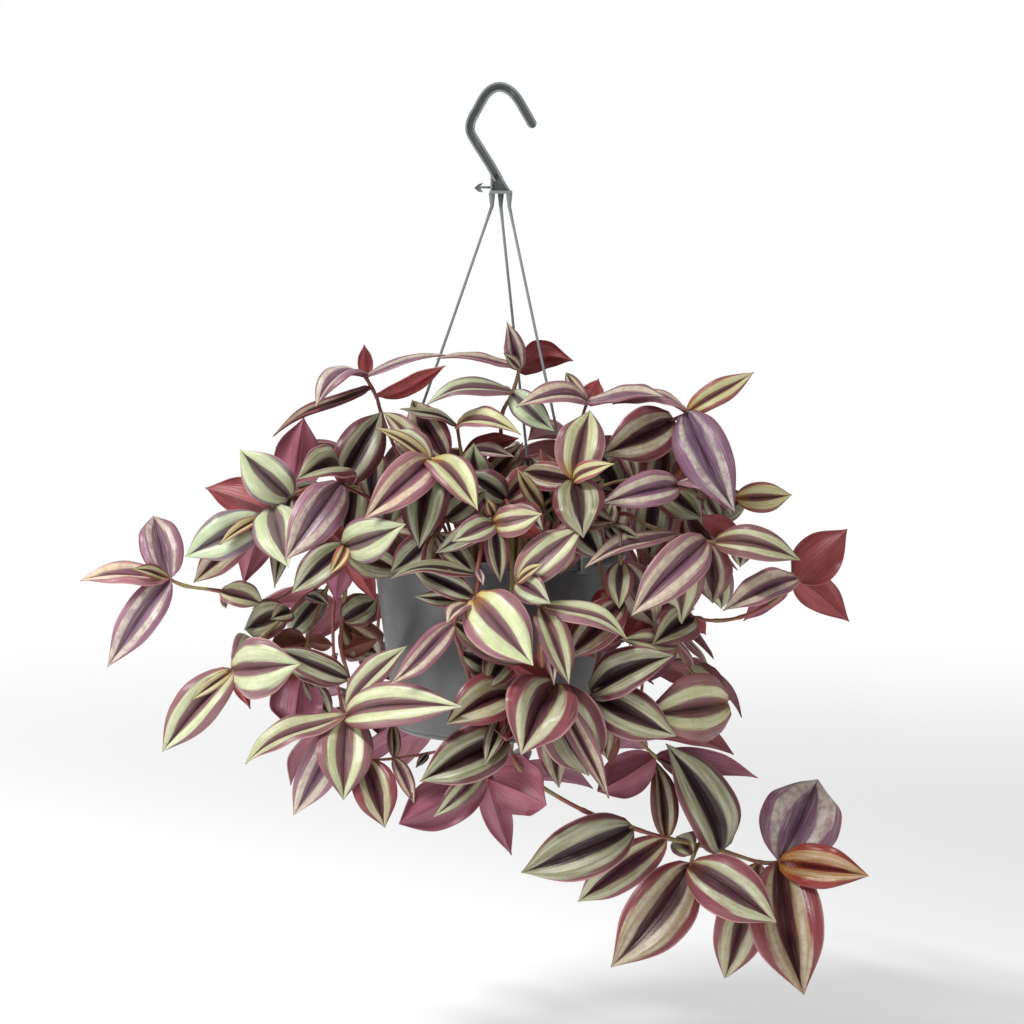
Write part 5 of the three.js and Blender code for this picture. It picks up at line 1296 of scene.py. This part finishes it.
def model_bed(lump):
    """The bed of peat: a plug that fills the pot, with its surface raised into lumps."""
    inset = WALL + GAP
    top = -SOIL_DROP
    bottom = -POT_HEIGHT + inset
    low = -POT_HEIGHT + BASE_CORNER + GAP
    edge = pot_outer_radius(top) - inset
    profile = [
        (pot_outer_radius(-POT_HEIGHT) - inset - BASE_CORNER * 0.75, bottom),
        (pot_outer_radius(low) - inset, low), (edge, top - BED_EDGE_DROP)]
    for ring in range(1, BED_RINGS):
        drop = BED_EDGE_DROP * (1 - min(ring, BED_EDGE_RINGS) / BED_EDGE_RINGS)
        profile.append((edge * (1 - ring / BED_RINGS), top - drop))
    bed = turn_up(section_in_frame(profile), BED_SIDES)
    surface = bed.vertex_groups.new(name="surface")
    level = (top - 2 - SEAT_HEIGHT) * MM
    surface.add([v.index for v in bed.data.vertices if v.co.z > level], 1.0, "REPLACE")
    for size, share in BED_LUMPS:
        clouds = bpy.data.textures.new("lumps", "CLOUDS")
        clouds.noise_scale = size * MM
        clouds.noise_depth = 3
        apply_modifier(
            bed, "DISPLACE", texture=clouds, texture_coords="LOCAL", direction="Z", strength=lump * share,
            mid_level=0.6, vertex_group="surface")
    return bed


class SPIDERWORT_OT_growing_medium(bpy.types.Operator):
    """Models the growing medium: a lumpy bed of peat with crumbs of bark on it"""
    bl_idname = "spiderwort.growing_medium"
    bl_label = "Growing medium"

    def execute(self, context):
        look = context.scene.spiderwort_soil
        draw = random.Random(CRUMB_SEED)
        patterns = {kind: crumb(kind) for kind in CRUMBS}
        pieces = [model_bed(look.lump)]
        for _ in range(look.crumbs):
            kind = "bark" if draw.random() < BARK_SHARE else "granule"
            bit = link_object(kind, patterns[kind].data.copy())
            away = CRUMB_REACH * math.sqrt(draw.random())
            turn = draw.uniform(0, 360)
            bit.location = in_frame(bearing_point(turn, away, draw.uniform(-0.8, 0.8) - SOIL_DROP))
            bit.rotation_euler = (draw.uniform(-0.4, 0.4), draw.uniform(-0.4, 0.4), draw.uniform(0, 6.3))
            bit.scale = (draw.uniform(*CRUMB_SIZES[kind]) * MM,) * 3
            activate(bit)
            bpy.ops.object.transform_apply(location=True, rotation=True, scale=True)
            pieces.append(bit)
        for pattern in patterns.values():
            bpy.data.objects.remove(pattern)
        soil = join_pieces(pieces, "soil_bed")
        bpy.ops.object.shade_smooth_by_angle(angle=rad(SOIL_CREASE))
        hand_over(soil, "growing_medium", "medium", peat())
        return {"FINISHED"}


# ---- hanger ----
def thick_outline(name, points, thickness, edge, turn=0):
    """A slab with rounded edges: a closed outline of (across, z) in metres, stood up and turned about Z."""
    shape = bpy.data.curves.new(name, "CURVE")
    shape.dimensions = "2D"
    shape.fill_mode = "BOTH"
    shape.extrude = thickness / 2 * MM - edge
    shape.bevel_depth = edge
    shape.bevel_resolution = 2
    shape.offset = -edge
    spline = shape.splines.new("POLY")
    spline.points.add(len(points) - 1)
    for spot, (across, z) in zip(spline.points, points):
        spot.co = (across, z, 0, 1)
    spline.use_cyclic_u = True
    drawn = link_object(name, shape)
    drawn.rotation_euler = (rad(90), 0, rad(turn))
    return to_mesh(drawn)


def flat_plate(name, outline, thickness, edge):
    """A plate in the plane of the hook, cut from an outline in x and h."""
    points = [in_frame(place(x, h)) for x, h in outline]
    return thick_outline(name, [(x, z) for x, _, z in points], thickness, edge)


def strand_route(index):
    """From inside the plate down a tapered leg, then the thin strand to its clip on the rim."""
    top = place(*STRAND_ROOTS[index])
    top[1] = STRAND_DEPTHS[index]
    leg = top - UP * LEG_LENGTH
    end = bearing_point(STRAND_BEARINGS[index], RIM_RADIUS - STRAND_INSET, GAP + CLIP_WALL)
    points = [top + UP * (PLATE[2][1] - PLATE[0][1]), top, leg]
    for t in STRAND_STEPS:
        points.append(mix(leg, end, t) - UP * math.sin(math.pi * t) * STRAND_SAG)
    points.append(end)
    return points


def clip_outline():
    """The C-shaped section of a clip, as (radius, z) round the lip."""
    inside = RIM_RADIUS + CLIP_SLACK
    outside = inside + CLIP_WALL
    under = -LIP_DEPTH - CLIP_SLACK
    wall_radius = pot_outer_radius(-LIP_DEPTH) + CLIP_SLACK
    return [
        (RIM_RADIUS - CLIP_REACH, CLIP_SLACK), (inside, CLIP_SLACK), (inside, under), (wall_radius, under),
        (wall_radius, under - CLIP_WALL), (outside, under - CLIP_WALL), (outside, CLIP_SLACK + CLIP_WALL / 2),
        (inside, CLIP_SLACK + CLIP_WALL), (RIM_RADIUS - CLIP_REACH, CLIP_SLACK + CLIP_WALL),
    ]


def model_clip(bearing, edge):
    """One clip, as wide as CLIP_WIDTH, turned to its bearing."""
    return thick_outline("clip", section_in_frame(clip_outline()), CLIP_WIDTH, edge, -bearing)


def model_hook(edge):
    """The bar of the hook: an I section, flanges on its inner and outer edge, swept along its route."""
    h, d, w = BAR_HEIGHT / 2, BAR_DEPTH / 2, WEB / 2
    f = h - FLANGE
    section = [
        (h, -d), (h, d), (f, d), (f, w), (-f, w), (-f, d),
        (-h, d), (-h, -d), (-f, -d), (-f, -w), (f, -w), (f, -d)]
    coarse = [place(x, z) for x, z in HOOK_ROUTE]
    route = [curve_point(coarse, i / HOOK_STEPS) for i in range(HOOK_STEPS * (len(coarse) - 1) + 1)]
    for point in route:
        point[1] = 0
    rings = []
    for i, point in enumerate(route):
        along = unit(route[min(i + 1, len(route) - 1)] - route[max(i - 1, 0)])
        outward = vec(along[2], 0, -along[0])
        # The free end is rounded
        from_end = min(np.linalg.norm(point - route[0]) / h, 1)
        shrink = max(math.sqrt(1 - (1 - from_end) ** 2), HOOK_END_SHARE)
        rings.append([point + outward * radial * shrink + vec(0, y, 0) for radial, y in section])
    sides = len(section)
    faces = [list(range(sides))[::-1], [sides * (len(rings) - 1) + k for k in range(sides)]]
    for r in range(len(rings) - 1):
        for k in range(sides):
            a, b = r * sides + k, r * sides + (k + 1) % sides
            faces.append([a, b, b + sides, a + sides])
    mesh = bpy.data.meshes.new("hook")
    mesh.from_pydata([tuple(p) for ring in rings for p in in_frame(ring)], [], faces)
    mesh.update()
    bar = link_object("hook", mesh)
    activate(bar)
    bpy.ops.object.mode_set(mode="EDIT")
    bpy.ops.mesh.select_all(action="SELECT")
    bpy.ops.mesh.normals_make_consistent(inside=False)
    bpy.ops.object.mode_set(mode="OBJECT")
    apply_modifier(bar, "BEVEL", width=edge, segments=3, limit_method="ANGLE", angle_limit=rad(40))
    return bar


class SPIDERWORT_OT_hanger(bpy.types.Operator):
    """Models the hanger as one moulding: hook, gusset, plate, barb, strands and clips"""
    bl_idname = "spiderwort.hanger"
    bl_label = "Hanger"

    def execute(self, context):
        look = context.scene.spiderwort_hanger
        edge = look.edge
        (left, low), (right, _), (slope, high), _ = GUSSET
        upright = [(left, low), (left + FLANGE, low), (left + FLANGE, high), (left, high)]
        slanting = [(right - SLANT_FLANGE, low), (right, low), (slope, high), (slope - SLANT_FLANGE, high)]
        pieces = [
            model_hook(edge),
            flat_plate("gusset", GUSSET, WEB, edge * 0.6),
            flat_plate("upright_flange", upright, BAR_DEPTH, edge),
            flat_plate("slanting_flange", slanting, BAR_DEPTH, edge),
            flat_plate("plate", PLATE, PLATE_DEPTH, edge),
            flat_plate("barb", BARB, BARB_DEPTH, edge * 0.5),
        ]
        radii = [*LEG_RADII, *[look.strand / MM] * (len(STRAND_STEPS) - 1), *STRAND_END_RADII]
        for index, bearing in enumerate(STRAND_BEARINGS):
            pieces.append(draw_tube("strand", in_frame(strand_route(index)), radii, 5))
            pieces.append(model_clip(bearing, edge))
        moulding = join_pieces(pieces, "hanger_moulding")
        bpy.ops.object.shade_smooth_by_angle(angle=rad(MOULD_CREASE))
        hand_over(moulding, "hanger", "hanger", hanger_plastic())
        return {"FINISHED"}


# ---- stage ----
CAMERA_LENS = 115.2  # mm, on a sensor as wide as CAMERA_SENSOR
CAMERA_SENSOR = 36
LIGHTS = {  # place from the middle of the foliage and side of the square, m
    "key": ((-1.1, -0.95, 1.75), 0.9),
    "edge": ((-1.7, 0.35, 0.1), 0.7),
    "fill": ((1.5, -1.0, 0.4), 1.2),
}
WHITE = (1, 1, 1, 1)
FLOOR_RADIUS = 2.2
FLOOR_FADE = (0.5, 2.0)  # where the floor starts to fade out and where it has gone, m


def area_light(name, spot, aim, size, watts):
    light = bpy.data.lights.new(name, "AREA")
    light.shape = "SQUARE"
    light.size = size
    light.energy = watts
    lamp = link_object(name, light)
    lamp.location = spot
    x, y, z = np.array(aim) - np.array(spot)
    lamp.rotation_euler = (math.atan2(math.hypot(x, y), -z), 0, math.atan2(x, -y))


def even_light(sky):
    """A world that lights weakly and evenly, while the camera sees white round the object."""
    world = bpy.data.worlds.new("even_light")
    world.use_nodes = True
    tree = world.node_tree
    seen = add(tree, "LightPath").node.outputs["Is Camera Ray"]
    strength = add(tree, "Math", (seen, 1 - sky, sky), **TIMES_PLUS)
    feed(tree.nodes["Background"], {"Color": WHITE, "Strength": strength})
    return world


def pale_floor():
    # Seamless studio board: matt, near white, and lit a little from all round so that it stays pale. It fades
    # out towards its edge.
    look = bpy.context.scene.spiderwort_stage
    material, tree, shader = new_material("studio_board", {
        "Base Color": rgba(look.floor), "Roughness": 0.9,
        "Emission Color": WHITE, "Emission Strength": look.glow})
    place_in_object = add(tree, "TexCoord").node.outputs["Object"]
    away = add(tree, "VectorMath", (place_in_object,), operation="LENGTH")
    feed(shader, {"Alpha": add(tree, "MapRange", (away, *FLOOR_FADE, 1, 0), **STEP)})
    return material


class SPIDERWORT_OT_stage(bpy.types.Operator):
    """Sets the camera, the soft lights and the pale floor"""
    bl_idname = "spiderwort.stage"
    bl_label = "Stage"

    def execute(self, context):
        look = context.scene.spiderwort_stage
        target = in_frame(vec(SHEET["x"], 0, SHEET["z"]))
        camera = link_object("camera", bpy.data.cameras.new("camera"))
        camera.data.lens = CAMERA_LENS
        camera.data.sensor_width = CAMERA_SENSOR
        camera.location = in_frame(EYE)
        camera.rotation_euler = (rad(90 - SHEET["dip"]), 0, 0)
        context.scene.camera = camera
        for name, (spot, size) in LIGHTS.items():
            area_light(name, target + spot, target, size, getattr(look, f"{name}_power"))
        context.scene.world = even_light(look.sky)
        context.scene.view_settings.view_transform = "Standard"
        clear_selection()
        bpy.ops.mesh.primitive_circle_add(
            vertices=96, radius=FLOOR_RADIUS, fill_type="NGON", location=(0, 0, CAD_BOX[0][2] - look.drop))
        floor = context.object
        floor.name = "floor"
        floor.data.materials.append(pale_floor())
        return {"FINISHED"}


# ---- panel and registration ----
STEPS = ("stage", "pot", "growing_medium", "hanger", "front_stems", "back_stems")
SETTINGS = {
    "pot": PotSettings, "soil": SoilSettings, "hanger": HangerSettings, "leaves": LeafSettings,
    "stalks": StalkSettings, "stage": StageSettings,
}


class SPIDERWORT_PT_panel(bpy.types.Panel):
    """Lists the steps and their sizes and colours"""
    bl_idname = "SPIDERWORT_PT_panel"
    bl_label = "Spiderwort"
    bl_space_type = "VIEW_3D"
    bl_region_type = "UI"
    bl_category = "Spiderwort"

    def draw(self, context):
        for step in STEPS:
            self.layout.operator(f"spiderwort.{step}")
        for key, group in SETTINGS.items():
            box = self.layout.box()
            box.label(text=key.capitalize())
            for name in group.__annotations__:
                box.prop(getattr(context.scene, f"spiderwort_{key}"), name)


CLASSES = (
    *SETTINGS.values(), SPIDERWORT_OT_stage, SPIDERWORT_OT_pot, SPIDERWORT_OT_growing_medium,
    SPIDERWORT_OT_hanger, SPIDERWORT_OT_front_stems, SPIDERWORT_OT_back_stems, SPIDERWORT_PT_panel,
)


def register():
    for cls in CLASSES:
        bpy.utils.register_class(cls)
    for key, group in SETTINGS.items():
        setattr(bpy.types.Scene, f"spiderwort_{key}", bpy.props.PointerProperty(type=group))


def unregister():
    for key in SETTINGS:
        delattr(bpy.types.Scene, f"spiderwort_{key}")
    for cls in reversed(CLASSES):
        bpy.utils.unregister_class(cls)


def main():
    register()
    for step in STEPS:
        getattr(bpy.ops.spiderwort, step)()


if __name__ == "__main__":
    main()
